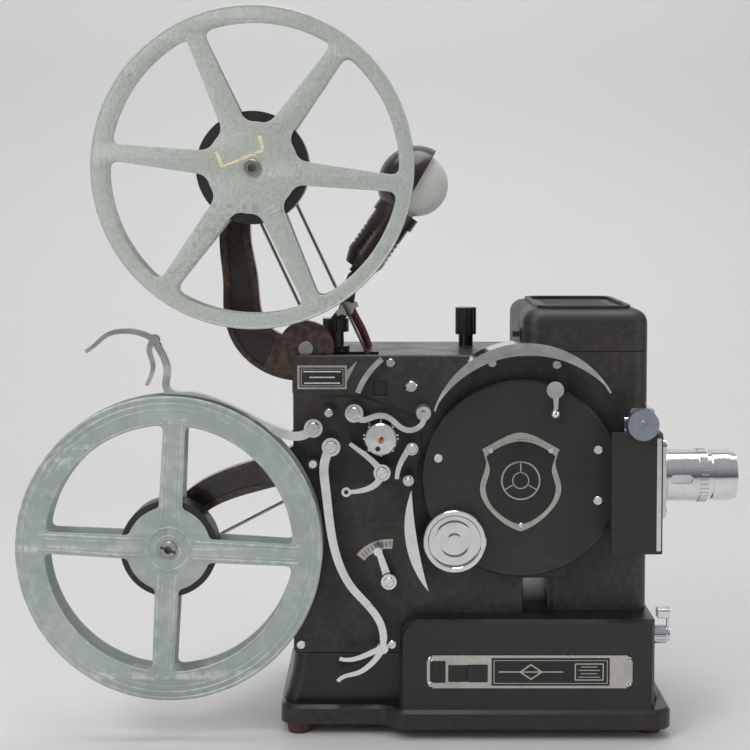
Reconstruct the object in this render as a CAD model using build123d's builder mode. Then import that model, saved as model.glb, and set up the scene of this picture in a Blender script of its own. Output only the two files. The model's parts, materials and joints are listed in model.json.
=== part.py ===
"""A self-threading 16 mm film projector of about 1930, with its two reels.

+X is the way the lens points, +Y is into the machine from its working side, +Z is up.
The origin is on the floor below the middle of the base, in the plane of the film.
All sizes are in millimetres.
"""
import os
from math import atan2, cos, degrees, hypot, radians, sin

from build123d import *

os.makedirs("parts", exist_ok=True)

# ---------------------------------------------------------------- driving dimensions
BASE_LENGTH = 230.0
BASE_BACK = 140.0
FOOT_HEIGHT = 6.7
FOOT_RADIUS = 8.0
FLANGE_TOP = 18.0
PEDESTAL_TOP = 46.8
BLOCK_TOP = 71.0
BLOCK_FRONT = -4.0
BLOCK_LEFT, BLOCK_RIGHT = -44.5, 104.6
CASTING_WALL = 4.0

CASE_LEFT, CASE_RIGHT = -107.4, 28.6
CASE_TOP = 224.5
CASE_BACK = 105.0
CASE_WALL = 2.5
PLATE_FRONT, PLATE_BACK = 13.0, 17.0
FRONT_BEARING = 35.5
REAR_BEARING = 70.0
BEARING_THICK = 2.5
PLATE_RIGHT = 55.0

LAMP_LEFT, LAMP_RIGHT = 29.2, 103.8
LAMP_FRONT, LAMP_BACK = 20.0, 136.0
LAMP_TOP = 252.8
LAMP_SEAM = 226.0
LAMP_WALL = 1.8

SHAFT_RADIUS = 3.0
RUNNING_FIT = 0.05
FILM_HALF = 8.0

SUPPLY = (-129.0, 334.3)
SUPPLY_RADIUS = 92.6
TAKEUP = (-178.4, 114.2)
TAKEUP_RADIUS = 88.9
FLANGE_GAP = 8.4
FLANGE_THICK = 1.0
UPPER_PIVOT = (-100.1, 228.0)
LOWER_PIVOT = (-97.6, 163.2)
ARM_FRONT, ARM_BACK = 18.4, 26.6
PIVOT_PIN_RADIUS = 3.5
PULLEY_RADIUS = 12.0
BELT_RADIUS = 1.2
UPPER_BELT_DEPTH = 28.9
LOWER_BELT_DEPTH = 32.4

SPROCKET = (-55.6, 178.2)
SHUTTER = (26.5, 152.7)
INCHING = (-12.7, 117.6)
MOTOR = (-63.2, 99.2)
COVER_RADIUS = 58.2
COVER_FRONT = 4.0
LENS_HEIGHT = 155.9
LENS_RADIUS = 15.0


def front(depth):
    """A plane that faces the operator at this depth, with local x along X and y along Z."""
    return Plane(origin=(0, depth, 0), x_dir=(1, 0, 0), z_dir=(0, -1, 0))


def side(reach):
    """A plane that faces along the lens axis, with local x along Y and y along Z."""
    return Plane(origin=(reach, 0, 0), x_dir=(0, 1, 0), z_dir=(1, 0, 0))


def polar(centre, radius, angle):
    """The point at this radius and angle in degrees round a centre."""
    return centre[0] + radius * cos(radians(angle)), centre[1] + radius * sin(radians(angle))


def screw_head(centre, depth, radius, height):
    """A slotted round screw head, as a solid of its own, seated at this depth."""
    with BuildPart(mode=Mode.PRIVATE) as head:
        with BuildSketch(front(depth)):
            with Locations(centre):
                Circle(radius)
        extrude(amount=height)
        chamfer(head.faces().sort_by(Axis.Y)[0].edges(), height * 0.3)
        with BuildSketch(front(depth - height)):
            with Locations(centre):
                Rectangle(radius * 2.2, radius * 0.28, rotation=35)
        extrude(amount=-height * 0.4, mode=Mode.SUBTRACT)
    return head.part


def rod(centre, radius, near, far):
    """A plain round shaft between two depths."""
    with BuildPart(mode=Mode.PRIVATE) as bar:
        with BuildSketch(front(far)):
            with Locations(centre):
                Circle(radius)
        extrude(amount=far - near)
    return bar.part


def edges_of_strip(points, widths):
    """Points along both edges of a strip that follows a smooth line."""
    middle = Spline(*points, mode=Mode.PRIVATE)
    steps = 24
    left, right = [], []
    for step in range(steps + 1):
        along = step / steps
        half = (widths[0] + (widths[1] - widths[0]) * along) / 2
        spot = middle @ along
        across = (middle % along).rotate(Axis.Z, 90) * half
        left.append(spot + across)
        right.append(spot - across)
    return left, right


def strap(points, widths, near, far):
    """A solid strip along a smooth line, between two depths."""
    left, right = edges_of_strip(points, widths)
    with BuildPart(mode=Mode.PRIVATE) as bar:
        with BuildSketch(front(far)):
            with BuildLine():
                one = Spline(*left)
                other = Spline(*right)
                Line(one @ 0, other @ 0)
                Line(one @ 1, other @ 1)
            make_face()
        extrude(amount=far - near)
    return bar.part


def ring(centre, outer, inner, near, far):
    """A plain bored disc between two depths."""
    with BuildPart(mode=Mode.PRIVATE) as disc:
        with BuildSketch(front(far)):
            with Locations(centre):
                Circle(outer)
                Circle(inner, mode=Mode.SUBTRACT)
        extrude(amount=far - near)
    return disc.part


# ---------------------------------------------------------------- base
FLANGE_FRONT_LEFT = 4.0
FLANGE_FRONT_RIGHT = -6.0
FLANGE_STEP = (-58.0, -40.0)
BLOCK_BEVEL = 2.5
PEDESTAL_STEPS = [(FLANGE_TOP - 0.5, 225.0, 138.0), (30.0, 217.0, 136.0), (PEDESTAL_TOP, 212.0, 134.0)]
BLOCK_SLABS = [((PLATE_FRONT - 0.3, 0), (BLOCK_FRONT + BLOCK_BEVEL, 0)),
               ((BLOCK_FRONT + BLOCK_BEVEL, 0), (BLOCK_FRONT, BLOCK_BEVEL * 0.7))]

with BuildPart() as base_casting:
    half = BASE_LENGTH / 2
    with BuildSketch(Plane.XY.offset(FOOT_HEIGHT)):
        with BuildLine():
            rim_left = Line((-half, BASE_BACK), (-half, FLANGE_FRONT_LEFT))
            rim_front = Line(rim_left @ 1, (FLANGE_STEP[0], FLANGE_FRONT_LEFT))
            step = Spline(rim_front @ 1, (FLANGE_STEP[1], FLANGE_FRONT_RIGHT), tangents=((1, 0), (1, 0)))
            Polyline(step @ 1, (half, FLANGE_FRONT_RIGHT), (half, BASE_BACK), rim_left @ 0)
        make_face()
    extrude(amount=FLANGE_TOP - FOOT_HEIGHT)
    corners = base_casting.edges().filter_by(Axis.Z).group_by(Axis.X)
    fillet(corners[0] + corners[-1], 11.0)
    chamfer(base_casting.faces().sort_by(Axis.Z)[-1].edges(), 2.0)
    for level, length, back in PEDESTAL_STEPS:
        with BuildSketch(Plane.XY.offset(level)):
            with Locations((-1.4, (PLATE_FRONT + back) / 2)):
                RectangleRounded(length, back - PLATE_FRONT, 9)
    loft()
    with BuildSketch(front(BASE_BACK - 8)):
        with BuildLine():
            block = Polyline((BLOCK_RIGHT, FLANGE_TOP), (BLOCK_RIGHT, BLOCK_TOP), (29, BLOCK_TOP))
            Polyline(block @ 1, (29, FLANGE_TOP), block @ 0)
        make_face()
    extrude(amount=BASE_BACK - 8 - PLATE_FRONT + 0.4)
    for slab in BLOCK_SLABS:
        for depth, inset in slab:
            with BuildSketch(front(depth)):
                with BuildLine():
                    left = BLOCK_LEFT + inset
                    rise = Polyline((left, FLANGE_TOP - 1), (left, BLOCK_TOP - 12))
                    shoulder = RadiusArc(rise @ 1, (BLOCK_LEFT + 12, BLOCK_TOP - inset), 12 - inset)
                    Polyline(shoulder @ 1, (BLOCK_RIGHT - inset, BLOCK_TOP - inset),
                             (BLOCK_RIGHT - inset, FLANGE_TOP - 1), rise @ 0)
                make_face()
        loft()
    with BuildSketch(Plane.XY.offset(FOOT_HEIGHT)):
        with Locations((-1.4, 76)):
            RectangleRounded(BASE_LENGTH - 34, 104, 8)
    extrude(amount=PEDESTAL_TOP - CASTING_WALL - FOOT_HEIGHT, mode=Mode.SUBTRACT)
base_casting.part.label = "base_casting"
export_step(base_casting.part, "parts/base_casting.step")

FOOT_PLACES = [(x, y) for x in (-104.0, 104.0) for y in (14.0, 128.0)]

with BuildPart() as rubber_feet:
    with Locations([(x, y, FOOT_HEIGHT / 2) for x, y in FOOT_PLACES]):
        Cone(FOOT_RADIUS - 1.2, FOOT_RADIUS, FOOT_HEIGHT)
rubber_feet.part.label = "rubber_feet"
export_step(rubber_feet.part, "parts/rubber_feet.step")

# Nameplate on the front block, with the switch behind its window.
NAMEPLATE = (31.3, 40.8)
NAMEPLATE_SIZE = (120.0, 19.4)
WINDOW = (-4.75, 39.85)
WINDOW_SIZE = (23.1, 10.1)

with BuildPart() as nameplate:
    with BuildSketch(front(BLOCK_FRONT)):
        with Locations(NAMEPLATE):
            Rectangle(*NAMEPLATE_SIZE)
            with GridLocations(*NAMEPLATE_SIZE, 2, 2):
                Circle(3.2, mode=Mode.SUBTRACT)
        with Locations(WINDOW):
            Rectangle(*WINDOW_SIZE, mode=Mode.SUBTRACT)
    extrude(amount=0.8)
SLIDER_WIDTH = 11.5

with BuildPart() as switch_slider:
    with BuildSketch(front(BLOCK_FRONT)):
        with Locations((WINDOW[0] + 5.75, WINDOW[1])):
            RectangleRounded(SLIDER_WIDTH, WINDOW_SIZE[1] - 0.4, 0.8)
    extrude(amount=2.2)
    with BuildSketch(front(BLOCK_FRONT - 2.2)):
        with Locations((WINDOW[0] + 5.75, WINDOW[1])):
            with GridLocations(1.8, 1, 5, 1):
                Rectangle(0.8, WINDOW_SIZE[1] - 2.4)
    extrude(amount=0.8)
switch_slider.part.label = "switch_slider"
export_step(switch_slider.part, "parts/switch_slider.step")

# Knob and thumb lever at the lens end of the base.
SIDE_KNOB = (9.0, 59.4)

with BuildPart() as side_knob:
    with BuildSketch(side(BLOCK_RIGHT + 0.3)):
        with Locations(SIDE_KNOB):
            Circle(5.4)
    extrude(amount=8.4)
    chamfer(side_knob.faces().sort_by(Axis.X)[-1].edges(), 0.8)
    with BuildSketch(side(BLOCK_RIGHT + 1.5)):
        with Locations(SIDE_KNOB):
            with PolarLocations(5.4, 18):
                Circle(0.35)
    extrude(amount=8, mode=Mode.SUBTRACT)

with BuildPart() as side_lever:
    add(side_knob.part)
    with BuildSketch(side(BLOCK_RIGHT + 8.8)):
        with Locations(SIDE_KNOB):
            Circle(4.2)
        with Locations((SIDE_KNOB[0], SIDE_KNOB[1] + 8)):
            Rectangle(3.6, 16)
    extrude(amount=1.4)
    with BuildSketch(side(BLOCK_RIGHT + 3.0)):
        with Locations((SIDE_KNOB[0], SIDE_KNOB[1] + 13)):
            RectangleRounded(8.5, 5.5, 1.2)
    extrude(amount=7.2)
side_lever.part.label = "side_lever"
export_step(side_lever.part, "parts/side_lever.step")

# ---------------------------------------------------------------- gear case
BAY_BACK = FRONT_BEARING
CASE_MID = ((CASE_LEFT + CASE_RIGHT) / 2, (PEDESTAL_TOP + CASE_TOP) / 2)
CASE_SIZE = (CASE_RIGHT - CASE_LEFT, CASE_TOP - PEDESTAL_TOP)

# The case is wider beside the shutter shaft, and the lamphouse is notched round it.
BULGE_WALL = 1.5
BULGE_BACK = REAR_BEARING + BEARING_THICK + BULGE_WALL
BULGE_TOP = 212.0
BULGE_RIGHT = 45.0
BULGE_MID = ((10 + BULGE_RIGHT) / 2, (BLOCK_TOP + 0.2 + BULGE_TOP) / 2)
BULGE_SIZE = (BULGE_RIGHT - 10, BULGE_TOP - BLOCK_TOP - 0.2)

with BuildPart() as gear_case:
    with BuildSketch(front(CASE_BACK)):
        with Locations(CASE_MID):
            RectangleRounded(*CASE_SIZE, 4.0)
    extrude(amount=CASE_BACK - PLATE_BACK)
    chamfer(gear_case.faces().sort_by(Axis.Y)[-1].edges(), 2.0)
    with BuildSketch(front(BULGE_BACK)):
        with Locations(BULGE_MID):
            Rectangle(*BULGE_SIZE)
    extrude(amount=BULGE_BACK - PLATE_BACK)
    with BuildSketch(front(CASE_BACK - CASE_WALL)):
        with Locations(CASE_MID):
            Rectangle(CASE_SIZE[0] - 2 * CASE_WALL, CASE_SIZE[1] - 2 * CASE_WALL)
    extrude(amount=CASE_BACK, mode=Mode.SUBTRACT)
    with BuildSketch(front(REAR_BEARING + BEARING_THICK)):
        with Locations(BULGE_MID):
            Rectangle(BULGE_SIZE[0] - 2 * BULGE_WALL, BULGE_SIZE[1] - 2 * BULGE_WALL)
    extrude(amount=CASE_BACK, mode=Mode.SUBTRACT)
    with BuildSketch(front(BAY_BACK)):
        with Locations((CASE_LEFT, CASE_TOP)):
            Rectangle(2 * (CASE_RIGHT - CASE_LEFT) / 2.7, 2 * 104.0)
    extrude(amount=BAY_BACK - PLATE_BACK, mode=Mode.SUBTRACT)
    with BuildSketch(front(CASE_BACK)):
        with Locations((MOTOR[0], MOTOR[1])):
            with GridLocations(44, 6, 1, 6):
                SlotOverall(44, 2.6)
    extrude(amount=CASE_WALL, mode=Mode.SUBTRACT)
gear_case.part.label = "gear_case"
export_step(gear_case.part, "parts/gear_case.step")

LEVER_PIVOT = (-50.9, 91.2)
LEVER_SHAFT = 2.5
LEFT_ROLLER = (-84.5, 172.6)
UPPER_BOSS = (-71.0, 193.0)
LOWER_BOSS = (-54.9, 158.4)

with BuildPart() as front_plate:
    with BuildSketch(front(PLATE_BACK)):
        with Locations(CASE_MID):
            RectangleRounded(*CASE_SIZE, 3.0)
        with BuildLine():
            ledge = Polyline((20, CASE_TOP), (PLATE_RIGHT - 6, CASE_TOP))
            turn = RadiusArc(ledge @ 1, (PLATE_RIGHT, CASE_TOP - 6), 6)
            Polyline(turn @ 1, (PLATE_RIGHT, 92), (20, 92), ledge @ 0)
        make_face()
        with Locations(SPROCKET, SHUTTER, INCHING):
            Circle(SHAFT_RADIUS + RUNNING_FIT, mode=Mode.SUBTRACT)
        with Locations(LEVER_PIVOT):
            Circle(LEVER_SHAFT + RUNNING_FIT, mode=Mode.SUBTRACT)
    extrude(amount=PLATE_BACK - PLATE_FRONT)
    chamfer(front_plate.edges().filter_by_position(Axis.Y, PLATE_FRONT - 0.1, PLATE_FRONT + 0.1)
            .filter_by(GeomType.LINE), 0.6)
    with BuildSketch(front(PLATE_FRONT + 2)):
        with Locations((-56.0, 205.0)):
            RectangleRounded(9, 9, 1.5)
    extrude(amount=2, mode=Mode.SUBTRACT)
front_plate.part.label = "front_plate"
export_step(front_plate.part, "parts/front_plate.step")

INNER_SIZE = (CASE_SIZE[0] - 2 * CASE_WALL, CASE_SIZE[1] - 2 * CASE_WALL)

with BuildPart() as front_bearing_plate:
    with BuildSketch(front(FRONT_BEARING + BEARING_THICK)):
        with Locations(CASE_MID):
            Rectangle(*INNER_SIZE)
        with Locations(BULGE_MID):
            Rectangle(BULGE_SIZE[0] - 2 * BULGE_WALL, BULGE_SIZE[1] - 2 * BULGE_WALL)
        with Locations(SPROCKET, SHUTTER, INCHING):
            Circle(SHAFT_RADIUS + RUNNING_FIT, mode=Mode.SUBTRACT)
    extrude(amount=BEARING_THICK)
    with BuildSketch(front(FRONT_BEARING)):
        with Locations(SHUTTER, INCHING):
            Circle(SHAFT_RADIUS + 3)
            Circle(SHAFT_RADIUS + RUNNING_FIT, mode=Mode.SUBTRACT)
    extrude(amount=4)

with BuildPart() as rear_bearing_plate:
    with BuildSketch(front(REAR_BEARING + BEARING_THICK)):
        with Locations(CASE_MID):
            Rectangle(*INNER_SIZE)
        with Locations(BULGE_MID):
            Rectangle(BULGE_SIZE[0] - 2 * BULGE_WALL, BULGE_SIZE[1] - 2 * BULGE_WALL)
        with Locations(SPROCKET, SHUTTER, INCHING, MOTOR):
            Circle(SHAFT_RADIUS + RUNNING_FIT, mode=Mode.SUBTRACT)
        with Locations((-80, 200), (-10, 205), (8, 70)):
            Circle(9, mode=Mode.SUBTRACT)
    extrude(amount=BEARING_THICK)
with BuildPart() as bearing_plates:
    add([front_bearing_plate.part, rear_bearing_plate.part])
bearing_plates.part.label = "bearing_plates"
export_step(bearing_plates.part, "parts/bearing_plates.step")

# The bracket above the belts carries the pin of the supply arm, and the take-up arm has its own pin.
BRACKET_THICK = 3.4

with BuildPart() as arm_bracket:
    with BuildSketch(front(BAY_BACK)):
        with Locations(UPPER_PIVOT):
            Circle(9)
        with Locations((UPPER_PIVOT[0], UPPER_PIVOT[1] - 14)):
            Rectangle(18, 28)
    extrude(amount=BRACKET_THICK)
    for screw in (-10, -20):
        with BuildSketch(front(BAY_BACK - BRACKET_THICK)):
            with Locations((UPPER_PIVOT[0], UPPER_PIVOT[1] + screw)):
                Circle(2.4)
        extrude(amount=0.4)


def headed_pin(centre, near, far):
    """A pivot pin between two depths, with a slotted head in front that keeps its arm on."""
    with BuildPart(mode=Mode.PRIVATE) as pin:
        add(rod(centre, PIVOT_PIN_RADIUS, near, far))
        add(screw_head(centre, near + 0.01, PIVOT_PIN_RADIUS + 0.9, 0.7))
    return pin.part


with BuildPart() as arm_pins:
    add(arm_bracket.part)
    add(headed_pin(UPPER_PIVOT, ARM_FRONT - 0.4, BAY_BACK - BRACKET_THICK))
    add(headed_pin(LOWER_PIVOT, ARM_FRONT - 0.4, FRONT_BEARING))
arm_pins.part.label = "arm_pins"
export_step(arm_pins.part, "parts/arm_pins.step")

CASE_SCREWS = [(-103, 52), (-103, 128), (-50, 220), (10, 220), (-49, 52), (48, 219)]

# Speed knob on the case top.
SPEED_KNOB = (-2.3, 80.0)

with BuildPart() as speed_knob:
    with BuildSketch(Plane.XY.offset(CASE_TOP)):
        with Locations(SPEED_KNOB):
            Circle(4.5)
    extrude(amount=8)
    with BuildSketch(Plane.XY.offset(CASE_TOP + 7)):
        with Locations(SPEED_KNOB):
            Circle(6.6)
            with PolarLocations(6.9, 14):
                Circle(0.9, mode=Mode.SUBTRACT)
    extrude(amount=16.9)
speed_knob.part.label = "speed_knob"
export_step(speed_knob.part, "parts/speed_knob.step")

# ---------------------------------------------------------------- gears and shafts
GEAR_MODULE = 2 * hypot(SHUTTER[0] - INCHING[0], SHUTTER[1] - INCHING[1]) / 90
TIMING_MODULE = 2 * hypot(SPROCKET[0] - INCHING[0], SPROCKET[1] - INCHING[1]) / 80
SPUR_DEPTH = (58.0, 64.0)
TIMING_DEPTH = (44.0, 50.0)


def gear_points(centre, teeth, module, phase):
    """The outline of a gear with a tooth at this angle in degrees."""
    pitch = teeth * module / 2
    quarter = 360 / teeth / 4
    corners = [(-1.25, 1.45), (0.0, 0.86), (0.8, 0.36), (0.8, -0.36), (0.0, -0.86), (-1.25, -1.45)]
    points = []
    for tooth in range(teeth):
        for depth, share in corners:
            angle = phase + tooth * 360 / teeth - share * quarter
            points.append(polar(centre, pitch + depth * module, angle))
    return points + points[:1]


def direction(start, end):
    """The angle in degrees of the way from one point to another."""
    return degrees(atan2(end[1] - start[1], end[0] - start[0]))


def gear_disc(centre, teeth, module, phase, depths):
    """A solid spur gear between two depths, bored for its shaft."""
    with BuildPart(mode=Mode.PRIVATE) as wheel:
        with BuildSketch(front(depths[1])):
            with BuildLine():
                Polyline(*gear_points(centre, teeth, module, phase))
            make_face()
            with Locations(centre):
                Circle(SHAFT_RADIUS, mode=Mode.SUBTRACT)
        extrude(amount=depths[1] - depths[0])
    return wheel.part


TO_SHUTTER = direction(INCHING, SHUTTER)
TO_SPROCKET = direction(INCHING, SPROCKET)
TO_MOTOR = direction(INCHING, MOTOR)
SPUR_PHASE = TO_SHUTTER
MOTOR_OFFSET = (TO_MOTOR - SPUR_PHASE) % (360 / 80)

with BuildPart() as inching_gear:
    add(gear_disc(INCHING, 80, GEAR_MODULE, SPUR_PHASE, SPUR_DEPTH))
    with BuildSketch(front(SPUR_DEPTH[1])):
        with Locations(INCHING):
            with PolarLocations(27, 5):
                Circle(9.5)
    extrude(amount=8, mode=Mode.SUBTRACT)

inching_parts = [
    rod(INCHING, SHAFT_RADIUS, 3.2, REAR_BEARING + BEARING_THICK),
    gear_disc(INCHING, 40, TIMING_MODULE, TO_SPROCKET, TIMING_DEPTH),
    inching_gear.part,
]

with BuildPart() as inching_shaft:
    add(inching_parts)
inching_shaft.part.label = "inching_shaft"
export_step(inching_shaft.part, "parts/inching_shaft.step")

with BuildPart() as shutter_shaft:
    add(rod(SHUTTER, SHAFT_RADIUS, 6.2, REAR_BEARING + BEARING_THICK))
    add(gear_disc(SHUTTER, 10, GEAR_MODULE, TO_SHUTTER + 180 + 18, SPUR_DEPTH))
shutter_shaft.part.label = "shutter_shaft"
export_step(shutter_shaft.part, "parts/shutter_shaft.step")

SHUTTER_BLADE_RADIUS = 46.0

with BuildPart() as shutter_blades:
    with BuildSketch(front(9.6)):
        with Locations(SHUTTER):
            Circle(SHUTTER_BLADE_RADIUS)
            Circle(SHAFT_RADIUS, mode=Mode.SUBTRACT)
        for turn in (30, 150, 270):
            with BuildLine():
                inner = [polar(SHUTTER, 14, turn + swing) for swing in (-24, 0, 24)]
                outer = [polar(SHUTTER, 48, turn + swing) for swing in (-24, 0, 24)]
                ThreePointArc(*inner)
                ThreePointArc(*outer)
                Line(inner[0], outer[0])
                Line(inner[2], outer[2])
            make_face(mode=Mode.SUBTRACT)
    extrude(amount=1.0)
shutter_blades.part.label = "shutter_blades"
export_step(shutter_blades.part, "parts/shutter_blades.step")

SPROCKET_PITCH = 9.7

with BuildPart() as film_sprocket:
    with BuildSketch(front(FILM_HALF + 1)):
        with Locations(SPROCKET):
            Circle(SPROCKET_PITCH - 0.4)
            Circle(SHAFT_RADIUS, mode=Mode.SUBTRACT)
    extrude(amount=2 * FILM_HALF + 2)
    with BuildSketch(front(-9.0)):
        with Locations(SPROCKET):
            Circle(SPROCKET_PITCH - 0.4)
    extrude(amount=2.4)
    chamfer(film_sprocket.faces().sort_by(Axis.Y)[0].edges(), 0.7)
    for depth in (-6.6, 7.6):
        with BuildSketch(front(depth)):
            for tooth in range(8):
                with Locations(polar(SPROCKET, SPROCKET_PITCH - 0.2, tooth * 45)):
                    Rectangle(1.4, 1.1, rotation=tooth * 45)
        extrude(amount=1.0)
film_sprocket.part.label = "film_sprocket"
export_step(film_sprocket.part, "parts/film_sprocket.step")


def grooved_pulley(centre, depths, radius):
    """A pulley with a round groove at each depth, as a revolved solid bored for its spindle."""
    with BuildPart(mode=Mode.PRIVATE) as wheel:
        near, far = depths[0] - 2.0, depths[-1] + 2.0
        with BuildSketch(front(far)):
            with Locations(centre):
                Circle(radius)
                Circle(SHAFT_RADIUS, mode=Mode.SUBTRACT)
        extrude(amount=far - near)
        for depth in depths:
            with Locations(Plane(origin=(centre[0], depth, centre[1]), z_dir=(0, 1, 0))):
                Torus(radius, BELT_RADIUS + 0.3, mode=Mode.SUBTRACT)
    return wheel.part


with BuildPart() as sprocket_shaft:
    add(rod(SPROCKET, SHAFT_RADIUS, -9.0, REAR_BEARING + BEARING_THICK))
    add(gear_disc(SPROCKET, 40, TIMING_MODULE, TO_SPROCKET + 180 + 4.5, TIMING_DEPTH))
    add(grooved_pulley(SPROCKET, (UPPER_BELT_DEPTH, LOWER_BELT_DEPTH), PULLEY_RADIUS))
sprocket_shaft.part.label = "sprocket_shaft"
export_step(sprocket_shaft.part, "parts/sprocket_shaft.step")

KNOB_RADIUS = 18.3

with BuildPart() as inching_knob:
    with BuildSketch(front(3.2)):
        with Locations(INCHING):
            Circle(KNOB_RADIUS)
    extrude(amount=6)
    with BuildSketch(front(-2.8)):
        with Locations(INCHING):
            Circle(KNOB_RADIUS)
            Circle(KNOB_RADIUS - 3.2, mode=Mode.SUBTRACT)
            Circle(11.5)
            Circle(9.0, mode=Mode.SUBTRACT)
            Circle(4.0)
    extrude(amount=3.2)
    chamfer(inching_knob.faces().sort_by(Axis.Y)[0].edges(), 0.5)
inching_knob.part.label = "inching_knob"
export_step(inching_knob.part, "parts/inching_knob.step")

MOTOR_RADIUS = 29.0

with BuildPart() as motor_body:
    with BuildSketch(front(CASE_BACK - CASE_WALL - 0.5)):
        with Locations(MOTOR):
            Circle(MOTOR_RADIUS)
    extrude(amount=CASE_BACK - CASE_WALL - 0.5 - REAR_BEARING - BEARING_THICK)
    with BuildSketch(front(CASE_BACK - CASE_WALL - 2)):
        with Locations(MOTOR):
            Circle(MOTOR_RADIUS - 5)
    extrude(amount=CASE_BACK - CASE_WALL - 2 - REAR_BEARING - BEARING_THICK, mode=Mode.SUBTRACT)
motor_body.part.label = "motor_body"
export_step(motor_body.part, "parts/motor_body.step")

with BuildPart() as motor_rotor:
    add(rod(MOTOR, SHAFT_RADIUS, SPUR_DEPTH[0] - 1, CASE_BACK - CASE_WALL - 4))
    add(gear_disc(MOTOR, 12, GEAR_MODULE, TO_MOTOR + 180 + 15 + MOTOR_OFFSET * 80 / 12, SPUR_DEPTH))
    with BuildSketch(front(96)):
        with Locations(MOTOR):
            Circle(21)
            with PolarLocations(21, 10):
                Rectangle(5, 1.6, mode=Mode.SUBTRACT)
    extrude(amount=18)
motor_rotor.part.label = "motor_rotor"
export_step(motor_rotor.part, "parts/motor_rotor.step")

# ---------------------------------------------------------------- reels, arms and belts
SPINDLE_RADIUS = 4.8
CORE_RADIUS = 20.0


def reel_flange(centre, radius, opening, hub, spokes, width, phase, near):
    """One stamped flange: a rim, a hub and even spokes."""
    with BuildPart(mode=Mode.PRIVATE) as flange:
        with BuildSketch(front(near + FLANGE_THICK)):
            with Locations(centre):
                Circle(radius)
                Circle(opening, mode=Mode.SUBTRACT)
                Circle(hub)
            for spoke in range(spokes):
                angle = phase + spoke * 360 / spokes
                with Locations(polar(centre, (hub + opening) / 2 - 1, angle)):
                    Rectangle(opening - hub + 8, width, rotation=angle)
            with Locations(centre):
                Circle(SPINDLE_RADIUS, mode=Mode.SUBTRACT)
        extrude(amount=FLANGE_THICK)
    return flange.part


SUPPLY_FLANGE = (SUPPLY, SUPPLY_RADIUS, 84.6, 25.0, 6, 12.5, -6.3)
TAKEUP_FLANGE = (TAKEUP, TAKEUP_RADIUS, 72.0, 26.0, 4, 13.0, -3.0)

with BuildPart() as supply_front_flange:
    add(reel_flange(*SUPPLY_FLANGE, -FLANGE_GAP - FLANGE_THICK))
supply_front_flange.part.label = "supply_front_flange"
export_step(supply_front_flange.part, "parts/supply_front_flange.step")

with BuildPart() as supply_rear_flange:
    add(reel_flange(*SUPPLY_FLANGE, FLANGE_GAP))
    add(ring(SUPPLY, CORE_RADIUS, SPINDLE_RADIUS, -FLANGE_GAP, FLANGE_GAP))
supply_rear_flange.part.label = "supply_rear_flange"
export_step(supply_rear_flange.part, "parts/supply_rear_flange.step")

with BuildPart() as takeup_front_flange:
    add(reel_flange(*TAKEUP_FLANGE, -FLANGE_GAP - FLANGE_THICK))
takeup_front_flange.part.label = "takeup_front_flange"
export_step(takeup_front_flange.part, "parts/takeup_front_flange.step")

with BuildPart() as takeup_rear_flange:
    add(reel_flange(*TAKEUP_FLANGE, FLANGE_GAP))
    add(ring(TAKEUP, CORE_RADIUS, SPINDLE_RADIUS, -FLANGE_GAP, FLANGE_GAP))
takeup_rear_flange.part.label = "takeup_rear_flange"
export_step(takeup_rear_flange.part, "parts/takeup_rear_flange.step")

with BuildPart() as supply_film_roll:
    add(ring(SUPPLY, 32.4, CORE_RADIUS, -FILM_HALF, FILM_HALF))
supply_film_roll.part.label = "supply_film_roll"
export_step(supply_film_roll.part, "parts/supply_film_roll.step")

with BuildPart() as takeup_film_roll:
    add(ring(TAKEUP, 28.2, CORE_RADIUS, -FILM_HALF, FILM_HALF))
takeup_film_roll.part.label = "takeup_film_roll"
export_step(takeup_film_roll.part, "parts/takeup_film_roll.step")

CLUTCH_RADIUS = 24.0
CLUTCH_DEPTH = (10.0, 12.0)


def reel_spindle(centre):
    """A spindle that is thick through the reel and thin through the arm's bearing."""
    with BuildPart(mode=Mode.PRIVATE) as spindle:
        add(rod(centre, SPINDLE_RADIUS, -11.5, ARM_FRONT - 1.5))
        add(rod(centre, SHAFT_RADIUS, ARM_FRONT - 1.5, UPPER_BELT_DEPTH + 6.0))
        chamfer(spindle.faces().sort_by(Axis.Y)[0].edges(), 0.6)
        with BuildSketch(front(-5)):
            with Locations(centre):
                Circle(2.4)
        extrude(amount=7, mode=Mode.SUBTRACT)
    return spindle.part


with BuildPart() as supply_spindle:
    add(reel_spindle(SUPPLY))
    add(ring(SUPPLY, CLUTCH_RADIUS - 2, SPINDLE_RADIUS, *CLUTCH_DEPTH))
    add(grooved_pulley(SUPPLY, (UPPER_BELT_DEPTH,), PULLEY_RADIUS))
supply_spindle.part.label = "supply_spindle"
export_step(supply_spindle.part, "parts/supply_spindle.step")

with BuildPart() as takeup_spindle:
    add(reel_spindle(TAKEUP))
    add(ring(TAKEUP, CLUTCH_RADIUS, SPINDLE_RADIUS, *CLUTCH_DEPTH))
    add(grooved_pulley(TAKEUP, (LOWER_BELT_DEPTH,), PULLEY_RADIUS))
    with BuildSketch(front(-8.5)):
        with Locations(TAKEUP):
            Rectangle(12, 1.6, rotation=-20)
    extrude(amount=4, mode=Mode.SUBTRACT)
takeup_spindle.part.label = "takeup_spindle"
export_step(takeup_spindle.part, "parts/takeup_spindle.step")


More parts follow.
